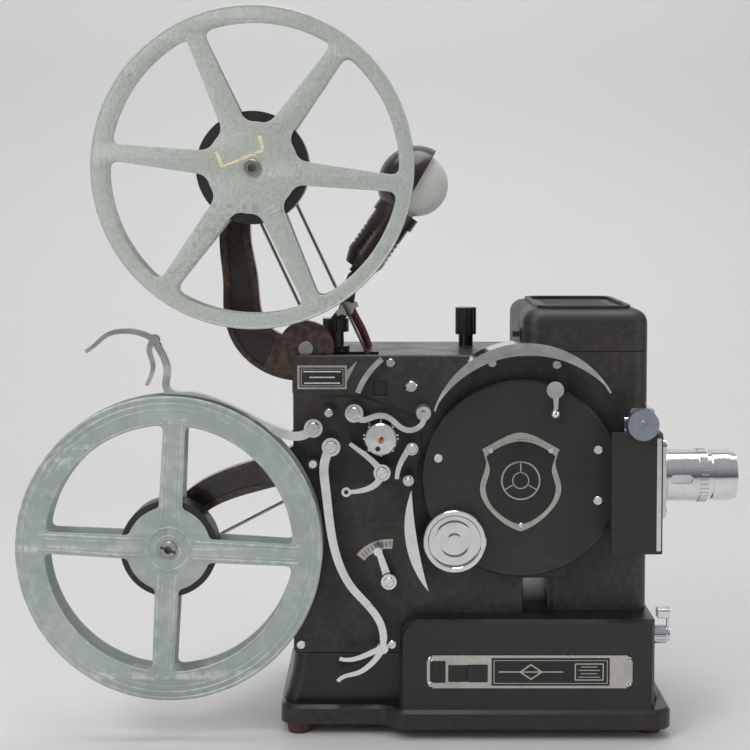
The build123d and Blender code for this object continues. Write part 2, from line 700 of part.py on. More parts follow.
def belt_loop(start, end, depth):
    """A closed belt round two equal pulleys."""
    way = direction(start, end)
    with BuildPart(mode=Mode.PRIVATE) as loop:
        with BuildLine(front(depth)) as run:
            tight = Line(polar(start, PULLEY_RADIUS, way + 90), polar(end, PULLEY_RADIUS, way + 90))
            far_points = [polar(end, PULLEY_RADIUS, way), polar(end, PULLEY_RADIUS, way - 90)]
            round_end = ThreePointArc(tight @ 1, *far_points)
            slack = Line(round_end @ 1, polar(start, PULLEY_RADIUS, way - 90))
            ThreePointArc(slack @ 1, polar(start, PULLEY_RADIUS, way + 180), tight @ 0)
        with BuildSketch(Plane(origin=run.line @ 0, z_dir=run.line % 0)):
            Circle(BELT_RADIUS)
        sweep()
    return loop.part


with BuildPart() as upper_belt:
    add(belt_loop(SPROCKET, SUPPLY, UPPER_BELT_DEPTH))
upper_belt.part.label = "upper_belt"
export_step(upper_belt.part, "parts/upper_belt.step")

with BuildPart() as lower_belt:
    add(belt_loop(SPROCKET, TAKEUP, LOWER_BELT_DEPTH))
lower_belt.part.label = "lower_belt"
export_step(lower_belt.part, "parts/lower_belt.step")

UPPER_ARM_LINE = [(-104, 222), (-121, 226), (-133, 237), (-137.6, 251), (-138.5, 268),
                  (-141, 286), (-141, 306), (-131, 328)]
LOWER_ARM_LINE = [(-100, 163), (-127.8, 152.6), (-152, 144.5), (-168, 134), (-176, 118)]


def reel_arm(line, widths, pivot, pivot_radius, spindle, boss_radius):
    """A cast arm with a hollowed face, bored for its pivot pin and its spindle."""
    with BuildPart(mode=Mode.PRIVATE) as arm:
        add(strap(line, widths, ARM_FRONT, ARM_BACK))
        add(rod(pivot, pivot_radius, ARM_FRONT, ARM_BACK))
        add(rod(spindle, boss_radius, ARM_FRONT, ARM_BACK))
        inner = (widths[0] - 7.5, widths[1] - 7.5)
        add(strap(line[1:-1], inner, ARM_FRONT - 1, ARM_FRONT + 1.6), mode=Mode.SUBTRACT)
        add(rod(pivot, PIVOT_PIN_RADIUS + RUNNING_FIT, ARM_FRONT - 1, ARM_BACK + 1), mode=Mode.SUBTRACT)
        add(rod(spindle, SHAFT_RADIUS + RUNNING_FIT, ARM_FRONT - 1, ARM_BACK + 1), mode=Mode.SUBTRACT)
    return arm.part


with BuildPart() as upper_arm:
    add(reel_arm(UPPER_ARM_LINE, (26.0, 15.5), UPPER_PIVOT, 16.5, SUPPLY, 17.0))
upper_arm.part.label = "upper_arm"
export_step(upper_arm.part, "parts/upper_arm.step")

with BuildPart() as lower_arm:
    add(reel_arm(LOWER_ARM_LINE, (19.5, 16.0), LOWER_PIVOT, 11.0, TAKEUP, 17.0))
lower_arm.part.label = "lower_arm"
export_step(lower_arm.part, "parts/lower_arm.step")

# ---------------------------------------------------------------- self-threading arms
UPPER_THREAD = (-94.8, 183.6)
LOWER_THREAD = LEFT_ROLLER
THREAD_HALF = 3.2
STUD_RADIUS = 2.4
UPPER_THREAD_LINE = [UPPER_THREAD, (-104.4, 179.0), (-115.9, 181.6), (-129.1, 187.9), (-146.8, 196.7),
                     (-157.4, 200.7), (-168.9, 202.7), (-176.5, 203.5), (-180.0, 208.2), (-179.2, 215.8),
                     (-180.8, 224.1), (-184.9, 231.5)]
UPPER_HINGE = (-186.6, 235.0)
UPPER_HOOK_LINE = [UPPER_HINGE, (-195.4, 239.1), (-205.2, 240.1), (-214.1, 237.8),
                   (-221.1, 232.1), (-226.6, 228.1)]
UPPER_CLAW_LINE = [UPPER_HINGE, (-189.3, 227.0), (-187.6, 221.0), (-188.4, 215.0), (-191.6, 208.6)]
LOWER_THREAD_LINE = [LOWER_THREAD, (-88.6, 161.0), (-87.7, 148.5), (-86.1, 134.2), (-83.7, 117.9),
                     (-79.3, 102.5), (-71.7, 89.1), (-63.0, 79.6), (-56.3, 69.9), (-54.2, 58.3)]
LOWER_HINGE = (-54.6, 54.0)
LOWER_TAIL_LINE = [LOWER_HINGE, (-62.1, 44.1), (-69.8, 39.3), (-76.5, 37.6), (-80.9, 34.5)]
LOWER_CLAW_LINE = [LOWER_HINGE, (-64.0, 50.2), (-71.7, 47.6), (-79.8, 48.0)]
HINGE_PIN_RADIUS = 1.2


def thread_arm(line, pivot, hinge):
    """A bent arm with a boss on its stud and a fork end that carries the hinge pin of its claw."""
    with BuildPart(mode=Mode.PRIVATE) as arm:
        add(strap(line, (5.4, 4.2), -THREAD_HALF, THREAD_HALF))
        add(rod(pivot, 5.4, -THREAD_HALF, THREAD_HALF))
        add(rod(hinge, 5.2, -THREAD_HALF, THREAD_HALF), mode=Mode.SUBTRACT)
        for near in (-THREAD_HALF - 0.8, THREAD_HALF - 0.2):
            add(rod(hinge, 3.0, near, near + 1.0))
            add(strap([line[-3], line[-2], line[-1], hinge], (3.6, 3.6), near, near + 1.0))
        add(rod(hinge, HINGE_PIN_RADIUS, -THREAD_HALF, THREAD_HALF))
        add(rod(pivot, STUD_RADIUS + RUNNING_FIT, -THREAD_HALF - 2, THREAD_HALF + 2), mode=Mode.SUBTRACT)
    return arm.part


def claw(lines, hinge):
    """A hinged claw with two fingers, bored for the pin in its arm."""
    with BuildPart(mode=Mode.PRIVATE) as fingers:
        add(rod(hinge, 3.4, -THREAD_HALF + 0.6, THREAD_HALF - 0.6))
        for line in lines:
            add(strap(line, (3.6, 2.2), -THREAD_HALF + 0.6, THREAD_HALF - 0.6))
        add(rod(hinge, HINGE_PIN_RADIUS + RUNNING_FIT, -THREAD_HALF, THREAD_HALF), mode=Mode.SUBTRACT)
    return fingers.part


with BuildPart() as upper_thread_arm:
    add(thread_arm(UPPER_THREAD_LINE, UPPER_THREAD, UPPER_HINGE))
upper_thread_arm.part.label = "upper_thread_arm"
export_step(upper_thread_arm.part, "parts/upper_thread_arm.step")

with BuildPart() as upper_claw:
    add(claw([UPPER_HOOK_LINE, UPPER_CLAW_LINE], UPPER_HINGE))
upper_claw.part.label = "upper_claw"
export_step(upper_claw.part, "parts/upper_claw.step")

with BuildPart() as lower_thread_arm:
    add(thread_arm(LOWER_THREAD_LINE, LOWER_THREAD, LOWER_HINGE))
lower_thread_arm.part.label = "lower_thread_arm"
export_step(lower_thread_arm.part, "parts/lower_thread_arm.step")

with BuildPart() as lower_claw:
    add(claw([LOWER_TAIL_LINE, LOWER_CLAW_LINE], LOWER_HINGE))
lower_claw.part.label = "lower_claw"
export_step(lower_claw.part, "parts/lower_claw.step")

# ---------------------------------------------------------------- sprocket clamps, rollers and guides
BRACKET_PLATE = (10.2, PLATE_FRONT)
POST_FRONT = -9.0
UPPER_ROLLER = (-85.6, 193.4)
LOWER_ROLLER = (-95.4, 161.4)
LOWER_ROLLER_FRONT = THREAD_HALF + 1.4
CLAMP_ROLLER = (-30.8, 192.4)
EXIT_ROLLER = (-39.7, 153.8)
EXIT_BOSS = (-37.6, 172.3)
PIN_RADIUS = 1.5

with BuildPart() as sprocket_bracket:
    with BuildSketch(front(BRACKET_PLATE[1])):
        with BuildLine():
            Polyline((-100, 186), (-92, 200), (-66, 200), (-34, 188), (-32, 168), (-36, 150),
                     (-60, 150), (-88, 154), (-100, 160), (-100, 186))
        make_face()
        with Locations(SPROCKET):
            Circle(SHAFT_RADIUS + 1, mode=Mode.SUBTRACT)
    extrude(amount=BRACKET_PLATE[1] - BRACKET_PLATE[0])
    for post in (UPPER_THREAD, LOWER_THREAD):
        add(rod(post, 4.2, THREAD_HALF + 1.2, BRACKET_PLATE[0]))
        add(rod(post, STUD_RADIUS, -THREAD_HALF - 1.2, BRACKET_PLATE[0]))
    for post in (UPPER_BOSS, LOWER_BOSS):
        add(rod(post, STUD_RADIUS, POST_FRONT, BRACKET_PLATE[0]))
    for post in (UPPER_ROLLER, EXIT_ROLLER):
        add(rod(post, PIN_RADIUS, POST_FRONT, BRACKET_PLATE[0]))
    add(rod(LOWER_ROLLER, PIN_RADIUS, LOWER_ROLLER_FRONT - 0.2, BRACKET_PLATE[0]))
    add(rod(EXIT_BOSS, 3.6, POST_FRONT + 1, BRACKET_PLATE[0]))
    add(rod(EXIT_ROLLER, 3.1, -FILM_HALF, FILM_HALF))
    spring = [EXIT_BOSS, (-41.6, 166.4), (-44.6, 160.4), (-46.2, 152.4)]
    add(strap(spring, (4.0, 2.4), 5.5, BRACKET_PLATE[0]))
sprocket_bracket.part.label = "sprocket_bracket"
export_step(sprocket_bracket.part, "parts/sprocket_bracket.step")

CLAMP_HALF = 8.0

with BuildPart() as upper_clamp:
    add(strap([UPPER_BOSS, (-65.2, 189.2), (-57.5, 191.6), (-50.5, 190.2), (-44.6, 185.2), (-39, 183.2),
               (-33, 185.6), CLAMP_ROLLER], (3.4, 3.0), -CLAMP_HALF, -CLAMP_HALF + 3))
    add(strap([UPPER_BOSS, (-65.2, 189.2), (-57.5, 191.6), (-50.5, 190.2), (-44.6, 185.2)],
              (3.0, 2.0), -CLAMP_HALF, CLAMP_HALF))
    add(rod(UPPER_BOSS, 5.3, -CLAMP_HALF, CLAMP_HALF))
    add(rod(UPPER_BOSS, STUD_RADIUS + RUNNING_FIT, -CLAMP_HALF - 1, CLAMP_HALF + 1), mode=Mode.SUBTRACT)
    add(rod(CLAMP_ROLLER, PIN_RADIUS, -CLAMP_HALF, CLAMP_HALF))
upper_clamp.part.label = "upper_clamp"
export_step(upper_clamp.part, "parts/upper_clamp.step")

FINGER_EYE = (-75.6, 147.2)
FINGER_LINE = [LOWER_BOSS, (-60.6, 150.4), (-68.5, 147.8), (-74.0, 147.2)]
FINGER_SHEET = 2.4

with BuildPart() as lower_clamp:
    shoe = [(-73.5, 175.4), (-67.2, 170.8), (-60.8, 165.6), LOWER_BOSS]
    add(strap(shoe, (2.2, 4.0), -CLAMP_HALF, CLAMP_HALF))
    add(strap(FINGER_LINE, (4.4, 2.2), -CLAMP_HALF, -CLAMP_HALF + FINGER_SHEET))
    add(rod(FINGER_EYE, 2.8, -CLAMP_HALF, -CLAMP_HALF + FINGER_SHEET))
    add(rod(LOWER_BOSS, 4.9, -CLAMP_HALF, CLAMP_HALF))
    add(rod(FINGER_EYE, 1.3, -CLAMP_HALF - 1, CLAMP_HALF), mode=Mode.SUBTRACT)
    add(rod(LOWER_BOSS, STUD_RADIUS + RUNNING_FIT, -CLAMP_HALF - 1, CLAMP_HALF + 1), mode=Mode.SUBTRACT)
lower_clamp.part.label = "lower_clamp"
export_step(lower_clamp.part, "parts/lower_clamp.step")


def film_roller(centre, radius, near):
    """A waisted roller on its pin: wide at both edges of the film."""
    with BuildPart(mode=Mode.PRIVATE) as roller:
        add(ring(centre, radius - 0.6, PIN_RADIUS + RUNNING_FIT, near, FILM_HALF))
        for edge in (near, FILM_HALF - 1.6):
            add(ring(centre, radius, PIN_RADIUS + RUNNING_FIT, edge, edge + 1.6))
    return roller.part


with BuildPart() as upper_roller:
    add(film_roller(UPPER_ROLLER, 3.5, -FILM_HALF))
upper_roller.part.label = "upper_roller"
export_step(upper_roller.part, "parts/upper_roller.step")

with BuildPart() as lower_roller:
    add(film_roller(LOWER_ROLLER, 3.6, LOWER_ROLLER_FRONT))
lower_roller.part.label = "lower_roller"
export_step(lower_roller.part, "parts/lower_roller.step")

with BuildPart() as clamp_roller:
    add(film_roller(CLAMP_ROLLER, 4.2, -CLAMP_HALF + 3.2))
clamp_roller.part.label = "clamp_roller"
export_step(clamp_roller.part, "parts/clamp_roller.step")

CRESCENT_SHEET = 1.2

with BuildPart() as upper_film_guide:
    tips = ((-25.2, 194.5), (77.4, 205.1))
    crown, belly = (28.5, 233.7), (31.9, 226.6)
    with BuildSketch(front(-8)):
        with BuildLine():
            ThreePointArc(tips[0], crown, tips[1])
            ThreePointArc(tips[0], belly, tips[1])
        make_face()
    extrude(amount=1.2)
    with BuildSketch(front(PLATE_FRONT)):
        with BuildLine():
            outer = ThreePointArc(tips[0], crown, tips[1])
            offset(outer, amount=-CRESCENT_SHEET, side=Side.RIGHT, closed=True)
        make_face()
    extrude(amount=PLATE_FRONT + 8)

with BuildPart() as lower_film_guide:
    with BuildSketch(front(PLATE_FRONT)):
        with BuildLine():
            ThreePointArc((-37.8, 148.0), (-41.6, 121.0), (-27.8, 88.5))
            ThreePointArc((-37.8, 148.0), (-35.0, 121.0), (-27.8, 88.5))
        make_face()
    extrude(amount=PLATE_FRONT + 6)
with BuildPart() as film_guides:
    add([upper_film_guide.part, lower_film_guide.part])
    add(strap([(-54.9, 223.0), (-64.1, 212.9), (-69.2, 203.0)], (3.2, 3.2), 7.0, PLATE_FRONT))
film_guides.part.label = "film_guides"
export_step(film_guides.part, "parts/film_guides.step")

LEVER_TIP = (-57.3, 110.0)

with BuildPart() as framing_lever:
    add(strap([LEVER_PIVOT, (-54.1, 100.6), LEVER_TIP], (5.0, 3.4), 8.5, 10.7))
    add(rod(LEVER_PIVOT, 4.6, 6.0, 12.6))
    add(rod(LEVER_PIVOT, LEVER_SHAFT, 6.0, PLATE_BACK + 1.0))
    add(rod(LEVER_TIP, 2.6, 2.0, 10.7))
    add(screw_head(LEVER_PIVOT, 6.01, 3.0, 1.0))
framing_lever.part.label = "framing_lever"
export_step(framing_lever.part, "parts/framing_lever.step")

# ---------------------------------------------------------------- shutter housing
COVER_WALL = 1.6
LATCH = (45.6, 205.8)
LATCH_PIN = 1.8

with BuildPart() as shutter_cover:
    with BuildSketch(front(PLATE_FRONT)):
        with Locations(SHUTTER):
            Circle(COVER_RADIUS)
    extrude(amount=PLATE_FRONT - COVER_FRONT)
    fillet(shutter_cover.faces().sort_by(Axis.Y)[0].edges(), 2.0)
    with BuildSketch(front(PLATE_FRONT)):
        with Locations(SHUTTER):
            Circle(COVER_RADIUS - COVER_WALL)
    extrude(amount=PLATE_FRONT - COVER_FRONT - COVER_WALL, mode=Mode.SUBTRACT)
    with BuildSketch(front(PLATE_FRONT)):
        with Locations(INCHING):
            Circle(SHAFT_RADIUS + 0.8)
    extrude(amount=PLATE_FRONT, mode=Mode.SUBTRACT)
    add(rod(LATCH, LATCH_PIN, -2.0, COVER_FRONT + COVER_WALL))
    add(rod(LATCH, 3.0, COVER_FRONT + 0.6, COVER_FRONT + 4))
shutter_cover.part.label = "shutter_cover"
export_step(shutter_cover.part, "parts/shutter_cover.step")

with BuildPart() as cover_latch:
    add(rod(LATCH, 5.0, -2.4, COVER_FRONT - 0.3))
    add(strap([LATCH, (46.2, 199), (46.0, 192.3)], (3.6, 2.2), -0.6, 1.2))
    with Locations((46.0, 0.3, 191.6)):
        Sphere(3.0)
    add(rod(LATCH, LATCH_PIN + RUNNING_FIT, -2.0, COVER_FRONT), mode=Mode.SUBTRACT)
cover_latch.part.label = "cover_latch"
export_step(cover_latch.part, "parts/cover_latch.step")

SHIELD_LEFT, SHIELD_RIGHT = 3.4, 49.0
SHIELD_TOP, SHIELD_WAIST, SHIELD_FOOT = 177.2, 162.0, 122.0

with BuildPart() as instruction_plate:
    with BuildSketch(front(PLATE_FRONT)):
        with Locations((-90.2, 211.6)):
            Rectangle(29.3, 14.1)
        with BuildLine():
            Polyline((-75.6, 215.5), (-69.4, 221.4), (-75.6, 209.0), (-75.6, 215.5))
        make_face()
    extrude(amount=0.7)

with BuildPart() as framing_scale:
    with BuildSketch(front(PLATE_FRONT)):
        with BuildLine():
            outer = [polar(LEVER_PIVOT, 24.2, angle) for angle in (142, 113, 84)]
            inner = [polar(LEVER_PIVOT, 18.4, angle) for angle in (142, 113, 84)]
            ThreePointArc(*outer)
            ThreePointArc(*inner)
            Line(outer[0], inner[0])
            Line(outer[2], inner[2])
        make_face()
    extrude(amount=0.6)

with BuildPart() as shield_plate:
    middle = (SHIELD_LEFT + SHIELD_RIGHT) / 2
    with BuildSketch(front(COVER_FRONT)):
        with BuildLine():
            top = Spline((SHIELD_LEFT, SHIELD_TOP - 7), (SHIELD_LEFT + 8, SHIELD_TOP - 2.5),
                         (middle, SHIELD_TOP + 3), (SHIELD_RIGHT - 8, SHIELD_TOP - 2.5),
                         (SHIELD_RIGHT, SHIELD_TOP - 7))
            right = Spline(top @ 1, (SHIELD_RIGHT - 2.5, SHIELD_WAIST), (SHIELD_RIGHT + 1, 148),
                           (SHIELD_RIGHT - 8, 131), (middle, SHIELD_FOOT))
            Spline(right @ 1, (SHIELD_LEFT + 8, 131), (SHIELD_LEFT - 1, 148),
                   (SHIELD_LEFT + 2.5, SHIELD_WAIST), top @ 0)
        make_face()
    extrude(amount=0.8)

with BuildPart() as engraved_plates:
    add([nameplate.part, instruction_plate.part, framing_scale.part, shield_plate.part])
engraved_plates.part.label = "engraved_plates"
export_step(engraved_plates.part, "parts/engraved_plates.step")

POST_SCREWS = [(UPPER_BOSS, 3.6), (LOWER_BOSS, 3.4), (EXIT_ROLLER, 2.2), (UPPER_ROLLER, 2.4)]

with BuildPart() as machine_screws:
    for place in CASE_SCREWS:
        add(screw_head(place, PLATE_FRONT, 2.6, 1.2))
    add(screw_head((-37.7, 206.0), PLATE_FRONT, 3.5, 2.0))
    for place, radius in POST_SCREWS:
        add(screw_head(place, POST_FRONT, radius, 1.0))
    add(screw_head(LOWER_ROLLER, LOWER_ROLLER_FRONT - 0.2, 2.4, 0.8))
    for place in (UPPER_THREAD, LOWER_THREAD):
        add(screw_head(place, -THREAD_HALF - 1.2, 3.6, 1.2))
    add(screw_head(EXIT_BOSS, POST_FRONT + 1, 2.6, 0.9))
    for place in ((8.6, 169.6), (43.8, 169.6), (26.5, 125.5)):
        add(screw_head(place, COVER_FRONT - 0.8, 1.6, 0.8))
    for place in ((71.5, 170.0), (71.5, 140.0), (-22.0, 165.0)):
        add(screw_head(place, COVER_FRONT, 2.6, 1.0))
machine_screws.part.label = "machine_screws"
export_step(machine_screws.part, "parts/machine_screws.step")

# ---------------------------------------------------------------- lens and gate
HOLDER_LEFT, HOLDER_RIGHT = 87.0, 106.0
HOLDER_FOOT, HOLDER_TOP = 112.0, 182.5
HOLDER_FRONT, HOLDER_BACK = -16.0, LAMP_FRONT
TUBE_RADIUS = 12.8
LENS_END = 149.7
LENS_FLANGE = 2.0

with BuildPart() as lens_holder:
    with BuildSketch(side(HOLDER_LEFT)):
        with Locations(((HOLDER_FRONT + HOLDER_BACK) / 2, (HOLDER_FOOT + HOLDER_TOP) / 2)):
            RectangleRounded(HOLDER_BACK - HOLDER_FRONT, HOLDER_TOP - HOLDER_FOOT, 3)
    extrude(amount=HOLDER_RIGHT - HOLDER_LEFT)
    with BuildSketch(front(-10.5)):
        with Locations(((HOLDER_LEFT + 77) / 2, (HOLDER_FOOT + HOLDER_TOP) / 2)):
            Rectangle(HOLDER_LEFT - 77 + 0.2, HOLDER_TOP - HOLDER_FOOT)
    extrude(amount=-10.5 - HOLDER_FRONT)
    with BuildSketch(side(HOLDER_LEFT - 1)):
        with Locations((0, LENS_HEIGHT)):
            Circle(TUBE_RADIUS + RUNNING_FIT)
    extrude(amount=HOLDER_RIGHT - HOLDER_LEFT + 2, mode=Mode.SUBTRACT)
lens_holder.part.label = "lens_holder"
export_step(lens_holder.part, "parts/lens_holder.step")

with BuildPart() as lens_flange:
    with BuildSketch(side(HOLDER_RIGHT)):
        with Locations((0, LENS_HEIGHT)):
            RectangleRounded(32, 46, 4)
            Circle(TUBE_RADIUS + RUNNING_FIT, mode=Mode.SUBTRACT)
    extrude(amount=LENS_FLANGE)
    with BuildSketch(side(HOLDER_RIGHT + LENS_FLANGE)):
        with Locations((0, LENS_HEIGHT)):
            with GridLocations(22, 38, 2, 2):
                Circle(1.9)
    extrude(amount=0.9)

BARREL_START = HOLDER_RIGHT + LENS_FLANGE + 1.2
LENS_STEPS = [(BARREL_START, 128.0, LENS_RADIUS), (128.0, 132.8, 15.6), (132.8, 135.9, 13.6),
              (135.9, 146.4, 14.7), (146.4, LENS_END, 13.8)]

with BuildPart() as lens_barrel:
    with BuildSketch(side(HOLDER_LEFT + 2)):
        with Locations((0, LENS_HEIGHT)):
            Circle(TUBE_RADIUS)
    extrude(amount=BARREL_START - HOLDER_LEFT - 2)
    for start, end, radius in LENS_STEPS:
        with BuildSketch(side(start)):
            with Locations((0, LENS_HEIGHT)):
                Circle(radius)
        extrude(amount=end - start)
    with BuildSketch(side(128.0)):
        with Locations((0, LENS_HEIGHT)):
            with PolarLocations(15.6, 36):
                Circle(0.4)
    extrude(amount=4.8, mode=Mode.SUBTRACT)
    with BuildSketch(side(HOLDER_LEFT)):
        with Locations((0, LENS_HEIGHT)):
            Circle(TUBE_RADIUS - 1.8)
    extrude(amount=LENS_END, mode=Mode.SUBTRACT)
    with BuildSketch(front(-LENS_RADIUS + 1.0)):
        with Locations((117, LENS_HEIGHT)):
            SlotOverall(13, 5)
    extrude(amount=5, mode=Mode.SUBTRACT)
lens_barrel.part.label = "lens_barrel"
export_step(lens_barrel.part, "parts/lens_barrel.step")

with BuildPart() as lens_glass:
    for start, thick in ((HOLDER_LEFT + 4, 3.0), (LENS_END - 7, 4.0)):
        with BuildSketch(side(start)):
            with Locations((0, LENS_HEIGHT)):
                Circle(TUBE_RADIUS - 1.8)
        extrude(amount=thick)
lens_glass.part.label = "lens_glass"
export_step(lens_glass.part, "parts/lens_glass.step")

FOCUS = (93.8, 188.1)
FOCUS_SHAFT = 2.5
FOCUS_FRONT = -22.0

with BuildPart() as focus_bracket:
    with BuildSketch(front(10)):
        with Locations(((HOLDER_LEFT + 101) / 2, (HOLDER_TOP + 197) / 2)):
            RectangleRounded(101 - HOLDER_LEFT, 197 - HOLDER_TOP, 2)
        with Locations(FOCUS):
            Circle(FOCUS_SHAFT + RUNNING_FIT, mode=Mode.SUBTRACT)
    extrude(amount=26)

with BuildPart() as focus_knob:
    with BuildSketch(front(-16.4)):
        with Locations(FOCUS):
            Circle(9.0)
            with PolarLocations(9.2, 30):
                Circle(0.45, mode=Mode.SUBTRACT)
    extrude(amount=5.6)
    add(rod(FOCUS, FOCUS_SHAFT, -16.5, 9.0))
    add(screw_head(FOCUS, FOCUS_FRONT, 2.8, 1.0))
focus_knob.part.label = "focus_knob"
export_step(focus_knob.part, "parts/focus_knob.step")

with BuildPart() as gate_plate:
    with BuildSketch(side(HOLDER_LEFT - 2.4)):
        with Locations((-3.5, 158)):
            RectangleRounded(13.6, 66, 2)
        with Locations((-3.6, LENS_HEIGHT)):
            Rectangle(10.3, 7.5, mode=Mode.SUBTRACT)
    extrude(amount=2.4)

with BuildPart() as lens_fittings:
    add([lens_flange.part, focus_bracket.part, gate_plate.part])
lens_fittings.part.label = "lens_fittings"
export_step(lens_fittings.part, "parts/lens_fittings.step")

# ---------------------------------------------------------------- lamphouse
LAMP_AXIS = (66.5, 78.0)
LAMP_SIZE = (LAMP_RIGHT - LAMP_LEFT, LAMP_BACK - LAMP_FRONT)
CONDENSER_RADIUS = 11.0

NOTCH = (BULGE_RIGHT + 0.4, BULGE_BACK + 0.5, BULGE_TOP + 0.5)
NOTCH_MID = ((LAMP_LEFT - 5 + NOTCH[0]) / 2, (LAMP_FRONT - 5 + NOTCH[1]) / 2)
NOTCH_SIZE = (NOTCH[0] - LAMP_LEFT + 5, NOTCH[1] - LAMP_FRONT + 5)

with BuildPart() as lamphouse_body:
    with BuildSketch(Plane.XY.offset(BLOCK_TOP)):
        with Locations(LAMP_AXIS):
            RectangleRounded(*LAMP_SIZE, 10)
        with Locations(NOTCH_MID):
            Rectangle(*NOTCH_SIZE, mode=Mode.SUBTRACT)
    extrude(amount=NOTCH[2] - BLOCK_TOP)
    with BuildSketch(Plane.XY.offset(NOTCH[2])):
        with Locations(LAMP_AXIS):
            RectangleRounded(*LAMP_SIZE, 10)
    extrude(amount=LAMP_SEAM - NOTCH[2])
    with BuildSketch(Plane.XY.offset(BLOCK_TOP + LAMP_WALL)):
        with Locations(LAMP_AXIS):
            RectangleRounded(LAMP_SIZE[0] - 2 * LAMP_WALL, LAMP_SIZE[1] - 2 * LAMP_WALL, 8)
        with Locations(NOTCH_MID):
            Rectangle(NOTCH_SIZE[0] + 2 * LAMP_WALL, NOTCH_SIZE[1] + 2 * LAMP_WALL, mode=Mode.SUBTRACT)
    extrude(amount=NOTCH[2] - BLOCK_TOP, mode=Mode.SUBTRACT)
    with BuildSketch(Plane.XY.offset(NOTCH[2] + LAMP_WALL)):
        with Locations(LAMP_AXIS):
            RectangleRounded(LAMP_SIZE[0] - 2 * LAMP_WALL, LAMP_SIZE[1] - 2 * LAMP_WALL, 8)
    extrude(amount=LAMP_SEAM, mode=Mode.SUBTRACT)
    with BuildSketch(front(LAMP_FRONT + LAMP_WALL + 1)):
        with Locations((LAMP_AXIS[0], LENS_HEIGHT)):
            Circle(CONDENSER_RADIUS)
    extrude(amount=LAMP_WALL + 2, mode=Mode.SUBTRACT)
    with BuildSketch(front(LAMP_BACK + 1)):
        with Locations((LAMP_AXIS[0], 110)):
            with GridLocations(46, 7, 1, 7):
                SlotOverall(46, 2.8)
    extrude(amount=LAMP_WALL + 2, mode=Mode.SUBTRACT)
lamphouse_body.part.label = "lamphouse_body"
export_step(lamphouse_body.part, "parts/lamphouse_body.step")

LID_GAP = 0.4
HINGE = (106.6, LAMP_SEAM)
HINGE_PIN = 1.2
HINGE_SPAN = (62.0, 94.0)

with BuildPart() as lamphouse_lid:
    with BuildSketch(Plane.XY.offset(LAMP_SEAM + LID_GAP)):
        with Locations(LAMP_AXIS):
            RectangleRounded(*LAMP_SIZE, 10)
    extrude(amount=LAMP_TOP - LAMP_SEAM - LID_GAP - 2.0)
    fillet(lamphouse_lid.faces().sort_by(Axis.Z)[-1].edges(), 8.5)
    with BuildSketch(Plane.XY.offset(LAMP_SEAM)):
        with Locations(LAMP_AXIS):
            RectangleRounded(LAMP_SIZE[0] - 2 * LAMP_WALL, LAMP_SIZE[1] - 2 * LAMP_WALL, 8)
    extrude(amount=LAMP_TOP - LAMP_SEAM - LID_GAP - 12, mode=Mode.SUBTRACT)
    with BuildSketch(Plane.XY.offset(LAMP_TOP - 13)):
        with Locations(LAMP_AXIS):
            RectangleRounded(LAMP_SIZE[0] - 22, LAMP_SIZE[1] - 22, 8)
    extrude(amount=9, mode=Mode.SUBTRACT)
    with BuildSketch(Plane.XY.offset(LAMP_TOP - 2.2)):
        with Locations(LAMP_AXIS):
            RectangleRounded(LAMP_SIZE[0] - 18, LAMP_SIZE[1] - 18, 9)
            RectangleRounded(LAMP_SIZE[0] - 24, LAMP_SIZE[1] - 24, 7, mode=Mode.SUBTRACT)
    extrude(amount=2.2)
    with BuildSketch(Plane.XY.offset(LAMP_TOP - 1)):
        with Locations(LAMP_AXIS):
            with GridLocations(1, 11, 1, 7):
                SlotOverall(40, 4)
    extrude(amount=-12, mode=Mode.SUBTRACT)
    for start in (HINGE_SPAN[0], HINGE_SPAN[1] - 9):
        add(rod(HINGE, 2.4, start, start + 9))
        with Locations((LAMP_RIGHT + 0.8, start + 4.5, LAMP_SEAM + 4.4)):
            Box(1.6, 9, 8)
        with Locations((LAMP_RIGHT + 1.4, start + 4.5, LAMP_SEAM + 1.6)):
            Box(2.8, 9, 2.2)
        add(rod(HINGE, HINGE_PIN + RUNNING_FIT, start - 1, start + 10), mode=Mode.SUBTRACT)
    with Locations((LAMP_LEFT - 0.6, 42, LAMP_SEAM + 8)):
        Box(1.4, 14, 9)
    with Locations((LAMP_LEFT - 3.2, 42, LAMP_SEAM + 9)):
        Box(4.4, 8, 3.2)
lamphouse_lid.part.label = "lamphouse_lid"
export_step(lamphouse_lid.part, "parts/lamphouse_lid.step")

with BuildPart() as lid_hinge:
    add(rod(HINGE, HINGE_PIN, HINGE_SPAN[0] - 1, HINGE_SPAN[1] + 1))
    add(rod(HINGE, 2.4, HINGE_SPAN[0] + 9.4, HINGE_SPAN[1] - 9.4))
    with Locations((LAMP_RIGHT + 0.7, 78, LAMP_SEAM - 5.2)):
        Box(1.4, 12.8, 9)
    with Locations((LAMP_RIGHT + 1.4, 78, LAMP_SEAM - 1.6)):
        Box(2.8, 12.8, 2)

with BuildPart() as condenser_lens:
    with BuildSketch(front(LAMP_FRONT + 6)):
        with Locations((LAMP_AXIS[0], LENS_HEIGHT)):
            Circle(CONDENSER_RADIUS)
    extrude(amount=6)

with BuildPart() as lamp_socket:
    with BuildSketch(Plane.XY.offset(BLOCK_TOP + LAMP_WALL)):
        with Locations(LAMP_AXIS):
            Circle(15)
    extrude(amount=48)
with BuildPart() as lamp_fittings:
    add([lid_hinge.part, lamp_socket.part])
lamp_fittings.part.label = "lamp_fittings"
export_step(lamp_fittings.part, "parts/lamp_fittings.step")

